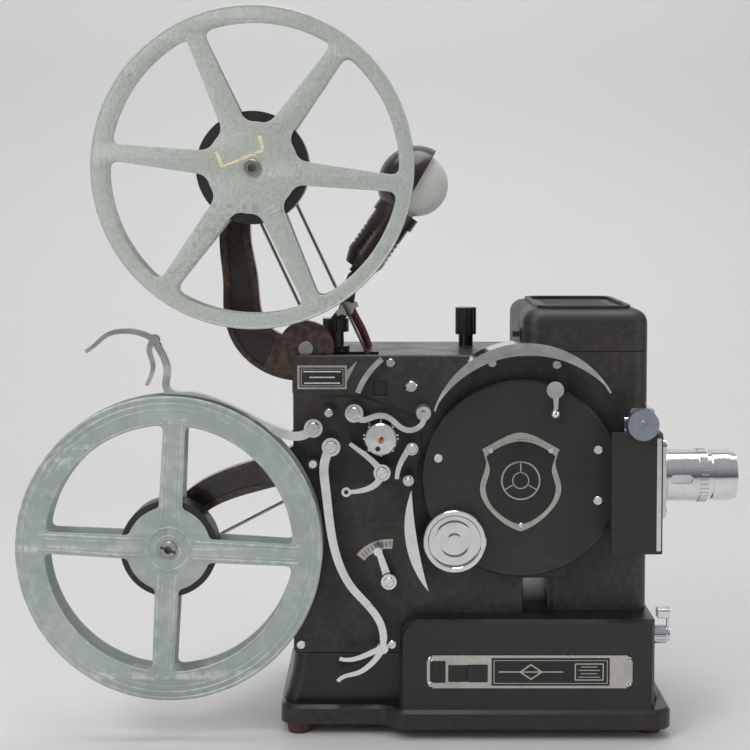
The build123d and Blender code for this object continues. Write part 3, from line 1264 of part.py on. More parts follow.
with BuildPart() as projection_lamp:
    with BuildSketch(Plane.XY.offset(BLOCK_TOP + LAMP_WALL + 48)):
        with Locations(LAMP_AXIS):
            Circle(14.5)
    extrude(amount=75)
    fillet(projection_lamp.faces().sort_by(Axis.Z)[-1].edges(), 12)
    add(condenser_lens.part)
projection_lamp.part.label = "projection_lamp"
export_step(projection_lamp.part, "parts/projection_lamp.step")

# ---------------------------------------------------------------- pilot lamp
PILOT_DEPTH = 46.0
PILOT_FOOT = (-83.2, PILOT_DEPTH)
KNUCKLE = (-76.0, 250.5)
BULB_CENTRE = (-34.1, 325.1)
BULB_RADIUS = 19.2
SHADE_RADIUS = 23.7
SOCKET_RADIUS = 12.0
SOCKET_LINE = direction((-67.2, 277.8), BULB_CENTRE)
SOCKET_AXIS = (cos(radians(SOCKET_LINE)), 0, sin(radians(SOCKET_LINE)))


def down_axis(length):
    """The point on the socket's axis this far back from the middle of the bulb."""
    spot = polar(BULB_CENTRE, -length, SOCKET_LINE)
    return spot[0], PILOT_DEPTH, spot[1]


def socket_plane(length):
    """A plane across the socket's axis, facing the bulb."""
    return Plane(origin=down_axis(length), x_dir=(0, 1, 0), z_dir=SOCKET_AXIS)


with BuildPart() as pilot_foot:
    for start, end, radius in ((CASE_TOP, CASE_TOP + 3, 8.5), (CASE_TOP + 3, 236, 5.0), (236, 244, 8.0)):
        with BuildSketch(Plane.XY.offset(start)):
            with Locations(PILOT_FOOT):
                Circle(radius)
        extrude(amount=end - start)
    with BuildSketch(Plane.XY.offset(236)):
        with Locations(PILOT_FOOT):
            with PolarLocations(8.2, 12):
                Circle(1.0)
    extrude(amount=9, mode=Mode.SUBTRACT)
    with BuildSketch(front(PILOT_DEPTH + 3)):
        with BuildLine():
            Polyline((PILOT_FOOT[0] - 4, 243), (KNUCKLE[0] - 5, KNUCKLE[1]), (KNUCKLE[0] + 4, KNUCKLE[1]),
                     (PILOT_FOOT[0] + 5, 243), (PILOT_FOOT[0] - 4, 243))
        make_face()
        with Locations(KNUCKLE):
            Circle(5)
    extrude(amount=6)
    add(rod(KNUCKLE, 2.05, PILOT_DEPTH - 5, PILOT_DEPTH + 5), mode=Mode.SUBTRACT)
pilot_foot.part.label = "pilot_foot"
export_step(pilot_foot.part, "parts/pilot_foot.step")

SOCKET_NEAR, SOCKET_FAR = 18.0, 62.0
CORD_RADIUS = 2.5
CORD_EXIT = (66.0, 9.5)

with BuildPart() as pilot_stem:
    for sign in (-1, 1):
        cheek = PILOT_DEPTH + sign * 4.6
        add(rod(KNUCKLE, 5.0, cheek - 1.3, cheek + 1.3))
        add(strap([KNUCKLE, (-75.0, 260), (-71.5, 270)], (8, 8), cheek - 1.3, cheek + 1.3))
    with BuildSketch(socket_plane(SOCKET_FAR)):
        Circle(SOCKET_RADIUS - 3)
    with BuildSketch(socket_plane(SOCKET_FAR - 8)):
        Circle(SOCKET_RADIUS)
    loft()
    with BuildSketch(socket_plane(SOCKET_FAR - 8)):
        Circle(SOCKET_RADIUS)
    extrude(amount=SOCKET_FAR - 8 - SOCKET_NEAR)
    for groove in range(5):
        with BuildSketch(socket_plane(50 - groove * 3.2)):
            Circle(SOCKET_RADIUS + 1)
            Circle(SOCKET_RADIUS - 0.6, mode=Mode.SUBTRACT)
        extrude(amount=1.2, mode=Mode.SUBTRACT)
    with BuildSketch(socket_plane(SOCKET_NEAR + 10)):
        Circle(SOCKET_RADIUS - 2.5)
    extrude(amount=20, mode=Mode.SUBTRACT)
    with Locations((KNUCKLE[0], PILOT_DEPTH, KNUCKLE[1])):
        Box(16, 6.6, 13, mode=Mode.SUBTRACT)
    add(rod(KNUCKLE, 2.0, PILOT_DEPTH - 5.9, PILOT_DEPTH + 5.9))
    with BuildSketch(socket_plane(CORD_EXIT[0])):
        with Locations((CORD_EXIT[1], 0)):
            Circle(CORD_RADIUS + 1.4)
    extrude(amount=14)
pilot_stem.part.label = "pilot_stem"
export_step(pilot_stem.part, "parts/pilot_stem.step")

with BuildPart() as pilot_thumbscrew:
    add(rod(KNUCKLE, 4.2, PILOT_DEPTH - 11.5, PILOT_DEPTH - 6.1))
    with BuildSketch(front(PILOT_DEPTH - 8)):
        with Locations(KNUCKLE):
            Rectangle(14, 3.4, rotation=25)
    extrude(amount=3)
pilot_thumbscrew.part.label = "pilot_thumbscrew"
export_step(pilot_thumbscrew.part, "parts/pilot_thumbscrew.step")

with BuildPart() as pilot_bulb:
    with Locations((BULB_CENTRE[0], PILOT_DEPTH, BULB_CENTRE[1])):
        Sphere(BULB_RADIUS)
    with BuildSketch(socket_plane(SOCKET_NEAR + 10)):
        Circle(SOCKET_RADIUS - 2.5)
    extrude(amount=16)
pilot_bulb.part.label = "pilot_bulb"
export_step(pilot_bulb.part, "parts/pilot_bulb.step")

SHADE_OPENING = Vector(0.86, 0, -0.5).normalized()

with BuildPart() as pilot_shade:
    with Locations((BULB_CENTRE[0], PILOT_DEPTH, BULB_CENTRE[1])):
        Sphere(SHADE_RADIUS)
        Sphere(SHADE_RADIUS - 1.2, mode=Mode.SUBTRACT)
    with BuildSketch(Plane(origin=(BULB_CENTRE[0], PILOT_DEPTH, BULB_CENTRE[1]), z_dir=SHADE_OPENING)):
        Circle(SHADE_RADIUS + 1)
    extrude(amount=SHADE_RADIUS + 1, mode=Mode.SUBTRACT)
    with BuildSketch(socket_plane(SOCKET_NEAR + 8)):
        Circle(SOCKET_RADIUS + 1.6)
    extrude(amount=8)
    with BuildSketch(socket_plane(SOCKET_NEAR + 12)):
        Circle(SOCKET_RADIUS + RUNNING_FIT)
    extrude(amount=14, mode=Mode.SUBTRACT)
pilot_shade.part.label = "pilot_shade"
export_step(pilot_shade.part, "parts/pilot_shade.step")

CORD_START = down_axis(CORD_EXIT[0])
CORD_ROUTE = [(CORD_START[0], PILOT_DEPTH + CORD_EXIT[1], CORD_START[2]), (-75.5, 57.5, 262.0),
              (-75.5, 60.5, 251.5), (-71.0, 62.0, 242.5), (-66.0, 61.5, 233.5), (-63.2, 61.0, CASE_TOP)]

with BuildPart() as pilot_cord:
    with BuildLine() as cord_line:
        Spline(*CORD_ROUTE, tangents=(-Vector(*SOCKET_AXIS), (0, 0, -1)))
    with BuildSketch(Plane(origin=cord_line.line @ 0, z_dir=cord_line.line % 0)):
        Circle(CORD_RADIUS)
    sweep()
pilot_cord.part.label = "pilot_cord"
export_step(pilot_cord.part, "parts/pilot_cord.step")
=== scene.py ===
"""A 16 mm film projector of about 1930, for rendering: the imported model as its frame,
with procedural materials, stamped reel flanges, coil-spring belts and engraved plates on it.

+X is the way the lens points, +Y is into the machine from its working side, +Z is up.
"""
import json
from math import atan2, cos, degrees, hypot, pi, radians, sin

import bmesh
import bpy
from mathutils import Matrix, Vector


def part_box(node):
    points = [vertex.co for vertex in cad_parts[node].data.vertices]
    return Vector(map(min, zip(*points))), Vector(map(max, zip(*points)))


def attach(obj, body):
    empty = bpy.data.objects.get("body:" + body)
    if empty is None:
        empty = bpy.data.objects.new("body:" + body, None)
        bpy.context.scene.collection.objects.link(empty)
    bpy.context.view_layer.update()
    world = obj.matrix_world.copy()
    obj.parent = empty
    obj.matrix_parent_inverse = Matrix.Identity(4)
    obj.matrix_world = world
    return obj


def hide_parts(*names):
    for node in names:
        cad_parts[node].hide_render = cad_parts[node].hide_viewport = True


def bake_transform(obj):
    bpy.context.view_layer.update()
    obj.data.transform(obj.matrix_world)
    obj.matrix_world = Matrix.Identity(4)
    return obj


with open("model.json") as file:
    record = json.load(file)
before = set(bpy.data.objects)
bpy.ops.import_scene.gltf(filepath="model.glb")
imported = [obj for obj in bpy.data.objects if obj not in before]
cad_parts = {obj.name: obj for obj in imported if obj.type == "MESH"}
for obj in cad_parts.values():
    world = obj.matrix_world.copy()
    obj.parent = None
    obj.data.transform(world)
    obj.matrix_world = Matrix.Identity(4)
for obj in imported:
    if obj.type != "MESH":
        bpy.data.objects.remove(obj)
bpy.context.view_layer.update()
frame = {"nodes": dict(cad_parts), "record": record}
NODES = frame["nodes"]
MM = 0.001


# ---------------------------------------------------------------- materials
class Nodes:
    """A short way to build a shader: every call adds one node and returns its output socket."""

    def __init__(self, name):
        self.material = bpy.data.materials.new(name)
        self.material.use_nodes = True
        self.tree = self.material.node_tree
        self.shader = self.tree.nodes["Principled BSDF"]
        self.place = self.add("ShaderNodeTexCoord").outputs["Object"]

    def add(self, kind, **settings):
        node = self.tree.nodes.new(kind)
        for key, value in settings.items():
            setattr(node, key, value)
        return node

    def link(self, source, target):
        if isinstance(source, bpy.types.NodeSocket):
            self.tree.links.new(source, target)
        else:
            target.default_value = source

    def stretched(self, scale):
        node = self.add("ShaderNodeMapping")
        self.link(self.place, node.inputs["Vector"])
        node.inputs["Scale"].default_value = scale
        return node.outputs["Vector"]

    def noise(self, scale, detail=4.0, rough=0.55, at=None):
        node = self.add("ShaderNodeTexNoise")
        self.link(at or self.place, node.inputs["Vector"])
        node.inputs["Scale"].default_value = scale
        node.inputs["Detail"].default_value = detail
        node.inputs["Roughness"].default_value = rough
        return node.outputs["Fac"]

    def cells(self, scale, feature):
        node = self.add("ShaderNodeTexVoronoi", feature=feature)
        self.link(self.place, node.inputs["Vector"])
        node.inputs["Scale"].default_value = scale
        return node.outputs["Distance"]

    def ramp(self, value, *stops):
        node = self.add("ShaderNodeValToRGB")
        self.link(value, node.inputs["Fac"])
        bar = node.color_ramp
        while len(bar.elements) < len(stops):
            bar.elements.new(0.5)
        for mark, (where, colour) in zip(bar.elements, stops):
            mark.position = where
            mark.color = (*colour, 1) if len(colour) == 3 else colour
        return node.outputs["Color"]

    def level(self, value, low, high, to_low, to_high):
        node = self.add("ShaderNodeMapRange")
        self.link(value, node.inputs["Value"])
        for key, number in (("From Min", low), ("From Max", high), ("To Min", to_low), ("To Max", to_high)):
            node.inputs[key].default_value = number
        return node.outputs["Result"]

    def sums(self, one, other, kind="ADD"):
        node = self.add("ShaderNodeMath", operation=kind)
        self.link(one, node.inputs[0])
        self.link(other, node.inputs[1])
        return node.outputs[0]

    def mix(self, share, one, other):
        node = self.add("ShaderNodeMix", data_type="RGBA")
        self.link(share, node.inputs[0])
        self.link(one if not isinstance(one, tuple) else (*one, 1), node.inputs[6])
        self.link(other if not isinstance(other, tuple) else (*other, 1), node.inputs[7])
        return node.outputs[2]

    def edges(self):
        """0 on flat faces, rising to 1 on outer edges."""
        point = self.add("ShaderNodeNewGeometry").outputs["Pointiness"]
        return self.level(point, 0.515, 0.56, 0.0, 1.0)

    def bump(self, height, strength, distance):
        node = self.add("ShaderNodeBump")
        self.link(height, node.inputs["Height"])
        node.inputs["Strength"].default_value = strength
        node.inputs["Distance"].default_value = distance
        self.link(node.outputs["Normal"], self.shader.inputs["Normal"])

    def finish(self, colour, rough, metal=0.0, coat=0.0, coat_rough=0.1):
        self.link(colour if not isinstance(colour, tuple) else (*colour, 1), self.shader.inputs["Base Color"])
        self.link(rough, self.shader.inputs["Roughness"])
        self.link(metal, self.shader.inputs["Metallic"])
        self.shader.inputs["Coat Weight"].default_value = coat
        self.shader.inputs["Coat Roughness"].default_value = coat_rough
        return self.material


def enamel(name, colour, worn, rough, wear=0.5, peel=0.12, coat=0.0):
    """Stoved paint: faint mottling, fine orange peel, dust, and rubbed edges."""
    n = Nodes(name)
    cloud = n.noise(38, 5)
    dark, light = (tuple(c * gain for c in colour) for gain in (0.90, 1.14))
    shade = n.mix(n.level(cloud, 0.35, 0.7, 0, 1), dark, light)
    rub = n.sums(n.edges(), n.level(n.noise(260, 6, 0.7), 0.42, 0.62, 0, 1), "MULTIPLY")
    shade = n.mix(n.sums(rub, wear, "MULTIPLY"), shade, worn)
    speck = n.level(n.noise(1500, 2, 0.6), 0.70, 0.78, 0, 0.35)
    shade = n.mix(speck, shade, tuple(min(1, c * 3 + 0.05) for c in colour))
    height = n.sums(n.noise(1100, 2), n.sums(n.noise(190, 3), 0.6, "MULTIPLY"))
    n.bump(height, peel, 0.0004)
    return n.finish(shade, n.level(n.noise(55, 5), 0.3, 0.75, rough - 0.07, rough + 0.12), 0.0, coat, 0.08)


def plated(name, colour, rough, dirt=0.25, brushed=0.0, tint=(0.20, 0.17, 0.14), swell=0.0):
    """Plated metal: bright, with faint haze, fine scratches and grime in patches.

    swell is how much the surface waves, as polished castings do."""
    n = Nodes(name)
    haze = n.level(n.noise(90, 6, 0.65), 0.45, 0.8, 0, 1)
    shade = n.mix(n.sums(haze, dirt, "MULTIPLY"), colour, tint)
    fine = n.noise(900, 3, 0.6, n.stretched((1, 0.08, 1)) if brushed else None)
    worn = n.level(fine, 0.35, 0.75, rough, rough + 0.12 + brushed)
    wave = n.noise(85, 1, 0.4)
    n.bump(n.sums(n.sums(fine, 0.02, "MULTIPLY"), n.sums(wave, swell, "MULTIPLY")), 1.0, 0.0006)
    return n.finish(shade, worn, 1.0)


def moulded(name, colour, rough, streak=0.25):
    """Moulded phenolic: polished, with soft streaks and a hazy bloom."""
    n = Nodes(name)
    flow = n.noise(70, 4, 0.6, n.stretched((1, 1, 0.35)))
    shade = n.mix(n.level(flow, 0.4, 0.7, 0, streak), colour, tuple(min(1, c * 2.6 + 0.01) for c in colour))
    n.bump(n.noise(420, 3), 0.10, 0.0004)
    return n.finish(shade, n.level(n.noise(60, 5), 0.3, 0.75, rough - 0.05, rough + 0.12), 0.0, 0.35, 0.12)


def hammertone():
    """Grey hammered paint: small dimples, flow marks, and age that yellows it."""
    n = Nodes("hammertone")
    dimple = n.cells(900, "SMOOTH_F1")
    flow = n.noise(620, 3, 0.5, n.stretched((1, 1, 0.55)))
    tone = n.sums(n.sums(dimple, 0.55, "MULTIPLY"), n.sums(flow, 0.7, "MULTIPLY"))
    shade = n.ramp(tone, (0.30, (0.42, 0.46, 0.43)), (0.55, (0.49, 0.53, 0.50)), (0.85, (0.58, 0.62, 0.58)))
    age = n.level(n.noise(30, 4), 0.45, 0.75, 0, 0.22)
    shade = n.mix(age, shade, (0.50, 0.49, 0.39))
    rub = n.sums(n.edges(), n.level(n.noise(300, 5), 0.5, 0.62, 0, 0.5), "MULTIPLY")
    shade = n.mix(rub, shade, (0.30, 0.28, 0.24))
    n.bump(tone, 0.35, 0.0006)
    return n.finish(shade, n.level(flow, 0.3, 0.7, 0.34, 0.5), 0.25, 0.15, 0.2)


def reel_enamel():
    """Blue-grey enamel with chips through to brown, rubbed rings and fine scratches."""
    n = Nodes("reel_enamel")
    cloud = n.noise(24, 5)
    shade = n.ramp(cloud, (0.3, (0.285, 0.335, 0.335)), (0.7, (0.385, 0.435, 0.430)))
    scratch = n.level(n.noise(240, 7, 0.7, n.stretched((1, 1, 0.12))), 0.62, 0.70, 0, 0.35)
    shade = n.mix(scratch, shade, (0.56, 0.60, 0.58))
    chips = n.sums(n.level(n.noise(150, 7, 0.72), 0.665, 0.70, 0, 1),
                   n.level(n.noise(31, 3), 0.52, 0.60, 0, 1), "MULTIPLY")
    shade = n.mix(chips, shade, (0.085, 0.055, 0.035))
    rub = n.sums(n.edges(), n.level(n.noise(180, 5), 0.45, 0.6, 0.15, 0.8), "MULTIPLY")
    shade = n.mix(rub, shade, (0.63, 0.67, 0.65))
    n.bump(n.sums(n.noise(900, 3), n.sums(chips, -0.8, "MULTIPLY")), 0.14, 0.0004)
    return n.finish(shade, n.level(cloud, 0.3, 0.7, 0.27, 0.42), 0.0, 0.35, 0.15)


def leatherette():
    """Black crackle paint with a fine raised grain."""
    n = Nodes("leatherette")
    grain = n.sums(n.cells(820, "DISTANCE_TO_EDGE"), n.sums(n.noise(1600, 3), 0.25, "MULTIPLY"))
    shade = n.ramp(grain, (0.0, (0.006, 0.006, 0.006)), (0.35, (0.030, 0.028, 0.027)))
    n.bump(grain, 0.55, 0.0006)
    return n.finish(shade, n.level(n.noise(90), 0.3, 0.7, 0.42, 0.60))


def film_edge():
    """The wound edge of a film roll: fine rings with a slight sheen."""
    n = Nodes("film")
    spot = n.add("ShaderNodeTexWave", wave_type="RINGS", rings_direction="Y")
    n.link(n.place, spot.inputs["Vector"])
    spot.inputs["Scale"].default_value = 900
    spot.inputs["Distortion"].default_value = 1.5
    shade = n.mix(spot.outputs["Fac"], (0.006, 0.006, 0.006), (0.022, 0.020, 0.019))
    n.bump(spot.outputs["Fac"], 0.15, 0.0002)
    return n.finish(shade, n.level(n.noise(120), 0.3, 0.7, 0.28, 0.45))


def rubber():
    n = Nodes("rubber")
    shade = n.ramp(n.noise(160, 6), (0.3, (0.045, 0.022, 0.014)), (0.72, (0.125, 0.062, 0.038)))
    n.bump(n.noise(700, 5), 0.3, 0.0006)
    return n.finish(shade, n.level(n.noise(80), 0.3, 0.7, 0.62, 0.8))


def cord_rubber():
    n = Nodes("cord")
    shade = n.ramp(n.noise(300, 6), (0.3, (0.060, 0.018, 0.012)), (0.72, (0.170, 0.058, 0.036)))
    n.bump(n.noise(1300, 4), 0.35, 0.0005)
    return n.finish(shade, n.level(n.noise(150), 0.3, 0.7, 0.45, 0.66))


def clear_glass():
    n = Nodes("glass")
    dust = n.level(n.noise(500, 5), 0.5, 0.8, 0.02, 0.10)
    material = n.finish((0.93, 0.96, 0.97), dust)
    n.shader.inputs["Transmission Weight"].default_value = 0.9
    n.shader.inputs["IOR"].default_value = 1.5
    return material


def frosted():
    n = Nodes("frosted_glass")
    shade = n.ramp(n.noise(45, 4), (0.3, (0.80, 0.79, 0.75)), (0.7, (0.90, 0.89, 0.86)))
    n.bump(n.noise(900, 3), 0.08, 0.0003)
    material = n.finish(shade, n.level(n.noise(300), 0.3, 0.7, 0.30, 0.42))
    n.shader.inputs["Transmission Weight"].default_value = 0.35
    n.shader.inputs["Subsurface Weight"].default_value = 0.15
    return material


def ink(name, colour, rough):
    n = Nodes(name)
    faded = tuple(min(1, c * 1.6 + 0.01) for c in colour)
    shade = n.mix(n.level(n.noise(400, 4), 0.4, 0.7, 0, 0.5), colour, faded)
    n.bump(n.noise(900, 3), 0.1, 0.0003)
    return n.finish(shade, n.level(n.noise(200), 0.3, 0.7, rough, rough + 0.12))


def bracket():
    """Chrome posts on the bracket: from the plate's face back, the finish is painted dark and matt, a painted
    shade over the chrome plate.
    """
    n = Nodes("bracket")
    apart = n.add("ShaderNodeSeparateXYZ")
    n.link(n.place, apart.inputs[0])
    plate_face = 0.010
    # Painted shade: 1 deeper than the plate's face, where the colour turns dark and matt instead of chrome.
    shaded_back = n.level(apart.outputs["Y"], plate_face - 0.0001, plate_face + 0.0001, 0.0, 1.0)
    grime = n.level(n.noise(90, 6), 0.45, 0.8, 0, 0.3)
    posts = n.mix(grime, (0.74, 0.75, 0.77), (0.2, 0.17, 0.14))
    cloud = n.level(n.noise(60, 5), 0.4, 0.7, 0, 1)
    # The dark colour of the painted shade laid over the plate.
    plate = n.mix(cloud, (0.020, 0.018, 0.017), (0.045, 0.036, 0.031))
    shade = n.mix(shaded_back, posts, plate)
    n.bump(n.noise(900, 3), 0.06, 0.0003)
    metal = n.sums(1.0, shaded_back, "SUBTRACT")
    return n.finish(shade, n.level(shaded_back, 0.0, 1.0, 0.10, 0.42), metal)


BROWN = (0.120, 0.062, 0.036)
FINISHES = {
    "black_lacquer": enamel("black_lacquer", (0.012, 0.0105, 0.010), (0.055, 0.040, 0.032),
                            0.34, 0.38, 0.10, 0.15),
    "arm_lacquer": enamel("arm_lacquer", (0.020, 0.014, 0.011), BROWN, 0.26, 0.8, 0.10, 0.45),
    "grey_enamel": enamel("grey_enamel", (0.027, 0.0245, 0.0225), (0.085, 0.070, 0.060), 0.42, 0.35, 0.12),
    "chrome": plated("chrome", (0.80, 0.81, 0.83), 0.07, 0.25, swell=0.42),
    "nickel": plated("nickel", (0.58, 0.56, 0.52), 0.24, 0.35, 0.06),
    "steel": plated("steel", (0.42, 0.41, 0.40), 0.28, 0.30, 0.08),
    "blued_steel": plated("blued_steel", (0.42, 0.46, 0.53), 0.26, 0.25, 0.05, (0.20, 0.22, 0.26)),
    "hammertone": hammertone(),
    "reel_enamel": reel_enamel(),
    "film": film_edge(),
    "rubber": rubber(),
    "leatherette": leatherette(),
    "glass": clear_glass(),
    "frosted_glass": frosted(),
    "bakelite": moulded("bakelite", (0.016, 0.009, 0.007), 0.28, 0.5),
    "black_plastic": moulded("black_plastic", (0.010, 0.009, 0.009), 0.26, 0.25),
    "belt": plated("belt", (0.115, 0.108, 0.100), 0.34, 0.35, 0.04, (0.03, 0.028, 0.026)),
    "cord": cord_rubber(),
    "motor": enamel("motor", (0.03, 0.03, 0.03), (0.1, 0.1, 0.1), 0.5),
}
EXTRAS = {
    "plate_black": ink("plate_black", (0.012, 0.011, 0.011), 0.42),
    "plate_white": ink("plate_white", (0.62, 0.61, 0.57), 0.40),
    "copper": plated("copper", (0.62, 0.30, 0.17), 0.22, 0.3),
    "bracket": bracket(),
    "tape": ink("tape", (0.72, 0.66, 0.42), 0.55),
}


def smooth(obj, angle=32):
    """Smooth shading except across edges sharper than this."""
    for face in obj.data.polygons:
        face.use_smooth = True
    mesh = bmesh.new()
    mesh.from_mesh(obj.data)
    for edge in mesh.edges:
        edge.smooth = len(edge.link_faces) == 2 and degrees(edge.calc_face_angle(0)) < angle
    mesh.to_mesh(obj.data)
    mesh.free()


def soften(obj, width):
    """A small rounded bevel on the sharp edges."""
    bevel = obj.modifiers.new("soften", "BEVEL")
    bevel.width = width * MM
    bevel.segments = 2
    bevel.limit_method = "ANGLE"
    bevel.angle_limit = radians(34)
    bevel.harden_normals = False


# ---------------------------------------------------------------- carried-over nodes
SLOT_OF = {part["node"]: part["material_slot"] for part in frame["record"]["subparts"]}
ROUNDING = {"base_casting": 0.9, "gear_case": 0.7, "front_plate": 0.4, "lamphouse_body": 0.6,
            "lamphouse_lid": 0.5, "upper_arm": 1.6, "lower_arm": 1.6, "lens_holder": 0.9,
            "shutter_cover": 0.3, "rubber_feet": 0.8,
            "upper_thread_arm": 1.2, "lower_thread_arm": 1.2, "upper_claw": 1.0, "lower_claw": 1.0,
            "upper_clamp": 0.8, "lower_clamp": 0.8, "film_guides": 0.5, "speed_knob": 0.4, "side_lever": 0.5,
            "inching_knob": 0.5, "pilot_shade": 0.4, "pilot_stem": 0.5, "pilot_foot": 0.5}
SMALL_ROUNDING = 0.25
REPLACED = {"supply_front_flange", "supply_rear_flange", "takeup_front_flange", "takeup_rear_flange",
            "upper_belt", "lower_belt", "pilot_cord"}
for name, obj in NODES.items():
    obj.data.materials.clear()
    obj.data.materials.append(FINISHES[SLOT_OF[name]])
    if name not in REPLACED:
        soften(obj, ROUNDING.get(name, SMALL_ROUNDING))
NODES["sprocket_bracket"].data.materials[0] = EXTRAS["bracket"]


def piece(name, data, finish, body, angle=32):
    """Links a finished mesh as a piece that rides on a body."""
    obj = bpy.data.objects.new(name, data)
    bpy.context.scene.collection.objects.link(obj)
    data.materials.clear()
    data.materials.append(finish)
    smooth(obj, angle)
    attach(obj, body)
    return obj


def plate_mesh(outlines, depth, thick, edge):
    """A flat sheet with rounded edges that faces the operator, from closed outlines in millimetres.

    The first outline is its outside and the others are holes. depth is where its face is."""
    curve = bpy.data.curves.new("plate", "CURVE")
    curve.dimensions = "2D"
    curve.fill_mode = "BOTH"
    curve.extrude = (thick / 2 - edge) * MM
    curve.bevel_depth = edge * MM
    curve.bevel_resolution = 2
    curve.offset = -edge * MM
    for outline in outlines:
        spline = curve.splines.new("POLY")
        spline.points.add(len(outline) - 1)
        for point, (x, z) in zip(spline.points, outline):
            point.co = (x * MM, z * MM, 0, 1)
        spline.use_cyclic_u = True
    holder = bpy.data.objects.new("plate", curve)
    bpy.context.scene.collection.objects.link(holder)
    bpy.context.view_layer.update()
    data = bpy.data.meshes.new_from_object(holder.evaluated_get(bpy.context.evaluated_depsgraph_get()))
    bpy.data.objects.remove(holder)
    upright = Matrix.Rotation(radians(90), 4, "X")
    data.transform(Matrix.Translation((0, (depth + thick / 2) * MM, 0)) @ upright)
    mesh = bmesh.new()
    mesh.from_mesh(data)
    bmesh.ops.remove_doubles(mesh, verts=mesh.verts, dist=1e-6)
    bmesh.ops.recalc_face_normals(mesh, faces=mesh.faces)
    mesh.to_mesh(data)
    mesh.free()
    return data


def round_outline(centre, radius, count=96):
    return [(centre[0] + radius * cos(2 * pi * i / count), centre[1] + radius * sin(2 * pi * i / count))
            for i in range(count)]


def box_outline(centre, width, height, corner=0.0):
    x, z = width / 2, height / 2
    if corner == 0:
        return [(centre[0] - x, centre[1] - z), (centre[0] + x, centre[1] - z),
                (centre[0] + x, centre[1] + z), (centre[0] - x, centre[1] + z)]
    points = []
    for turn, (sx, sz) in enumerate(((1, 1), (-1, 1), (-1, -1), (1, -1))):
        for step in range(7):
            angle = radians(90 * turn + 15 * step)
            points.append((centre[0] + sx * (x - corner) + corner * cos(angle),
                           centre[1] + sz * (z - corner) + corner * sin(angle)))
    return points


def blunted(sides, reaches):
    """One closed outline from four open sides, with the corner after each side rounded off."""
    points = []
    for index, side in enumerate(sides):
        following = sides[(index + 1) % 4]
        corner = Vector(side[-1])
        start, end = reaches[index - 1], reaches[index]
        kept = [Vector(p) for p in side
                if (Vector(p) - Vector(side[0])).length >= start and (Vector(p) - corner).length >= end]
        after = [Vector(p) for p in following if (Vector(p) - corner).length >= end]
        points += kept
        begin, finish = kept[-1], after[0]
        for step in range(1, 8):
            share = step / 8
            points.append(begin * (1 - share) ** 2 + corner * 2 * share * (1 - share) + finish * share ** 2)
    return [(p.x, p.y) for p in points]


def window(centre, inner, outer, start, end, half_in, half_out, round_in, round_out):
    """One window between the spokes at two angles, which are this wide at the hub and at the rim."""
    low_in, low_out = degrees(atan2(half_in, inner)), degrees(atan2(half_out, outer))

    def spot(radius, angle):
        return radius * cos(radians(angle)), radius * sin(radians(angle))

    def arc(radius, first, last, count):
        return [spot(radius, first + (last - first) * i / count) for i in range(count + 1)]

    def line(one, other):
        return [tuple(Vector(one).lerp(Vector(other), i / 60)) for i in range(61)]

    up = line(spot(inner, start + low_in), spot(outer, start + low_out))
    rim = arc(outer, start + low_out, end - low_out, 70)
    down = line(spot(outer, end - low_out), spot(inner, end - low_in))
    hub = arc(inner, end - low_in, start + low_in, 40)
    outline = blunted([up, rim, down, hub], [round_out, round_out, round_in, round_in])
    return [(centre[0] + x, centre[1] + z) for x, z in outline]


def bead_ring(mesh, centre, radius, width, height, depth, rear=False, count=120):
    """A low rounded ridge that runs round a centre on a sheet's face."""
    way = 1 if rear else -1
    rows = []
    for i in range(count):
        angle = 2 * pi * i / count
        row = []
        for step in range(7):
            share = step / 6
            r = radius - width / 2 + width * share
            y = depth + way * height * sin(pi * share) ** 0.7 - way * 0.05
            row.append(mesh.verts.new(at(centre[0] + r * cos(angle), y, centre[1] + r * sin(angle))))
        rows.append(row)
    for i, row in enumerate(rows):
        other = rows[(i + 1) % count]
        for j in range(6):
            mesh.faces.new((row[j], other[j], other[j + 1], row[j + 1]))
        mesh.faces.new((row[6], other[6], other[0], row[0]))


def bead_line(mesh, start, end, width, height, depth, rear=False):
    """A low rounded ridge between two points on a sheet's face, with round ends."""
    way = 1 if rear else -1
    one, other = Vector(start), Vector(end)
    along = (other - one).normalized()
    across = Vector((-along.y, along.x))
    stations = [(0.0, 0.05), (0.12, 0.5), (0.35, 0.8), (0.8, 1.0)]
    length = (other - one).length
    places = [(width * d, s) for d, s in stations] + [(length - width * d, s) for d, s in stations[::-1]]
    rows = []
    for distance, share in places:
        row = []
        for step in range(7):
            swing = -1 + step / 3
            p = one + along * distance + across * swing * width / 2 * max(share, 0.1)
            y = depth + way * (height * share * cos(swing * pi / 2) - 0.05)
            row.append(mesh.verts.new(at(p.x, y, p.y)))
        rows.append(row)
    for row, following in zip(rows, rows[1:]):
        for j in range(6):
            mesh.faces.new((row[j], row[j + 1], following[j + 1], following[j]))
        mesh.faces.new((row[6], row[0], following[0], following[6]))
    mesh.faces.new(rows[0])
    mesh.faces.new(rows[-1][::-1])


def tube_wall(mesh, centre, outer, inner, near, far):
    """A plain closed ring between two depths."""
    count = 72
    rows = []
    for i in range(count):
        angle = 2 * pi * i / count
        rows.append([mesh.verts.new(at(centre[0] + r * cos(angle), y, centre[1] + r * sin(angle)))
                     for r, y in ((outer, near), (outer, far), (inner, far), (inner, near))])
    for i, row in enumerate(rows):
        other = rows[(i + 1) % count]
        for j in range(4):
            mesh.faces.new((row[j], other[j], other[(j + 1) % 4], row[(j + 1) % 4]))


def at(x, y, z):
    return Vector((x, y, z)) * MM


def centre_of(node):
    low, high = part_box(node)
    return (low.x + high.x) / 2 / MM, (low.z + high.z) / 2 / MM


def around(centre, radius, angle):
    return centre[0] + radius * cos(radians(angle)), centre[1] + radius * sin(radians(angle))


# ---------------------------------------------------------------- reels
SHEET = 1.0
FRONT_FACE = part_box("supply_front_flange")[0].y / MM
REAR_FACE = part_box("supply_rear_flange")[1].y / MM - SHEET
SPINDLE_BORE = 4.6
CORE_RADIUS = 20
CORE_DEPTHS = (-8.4, 8.6)


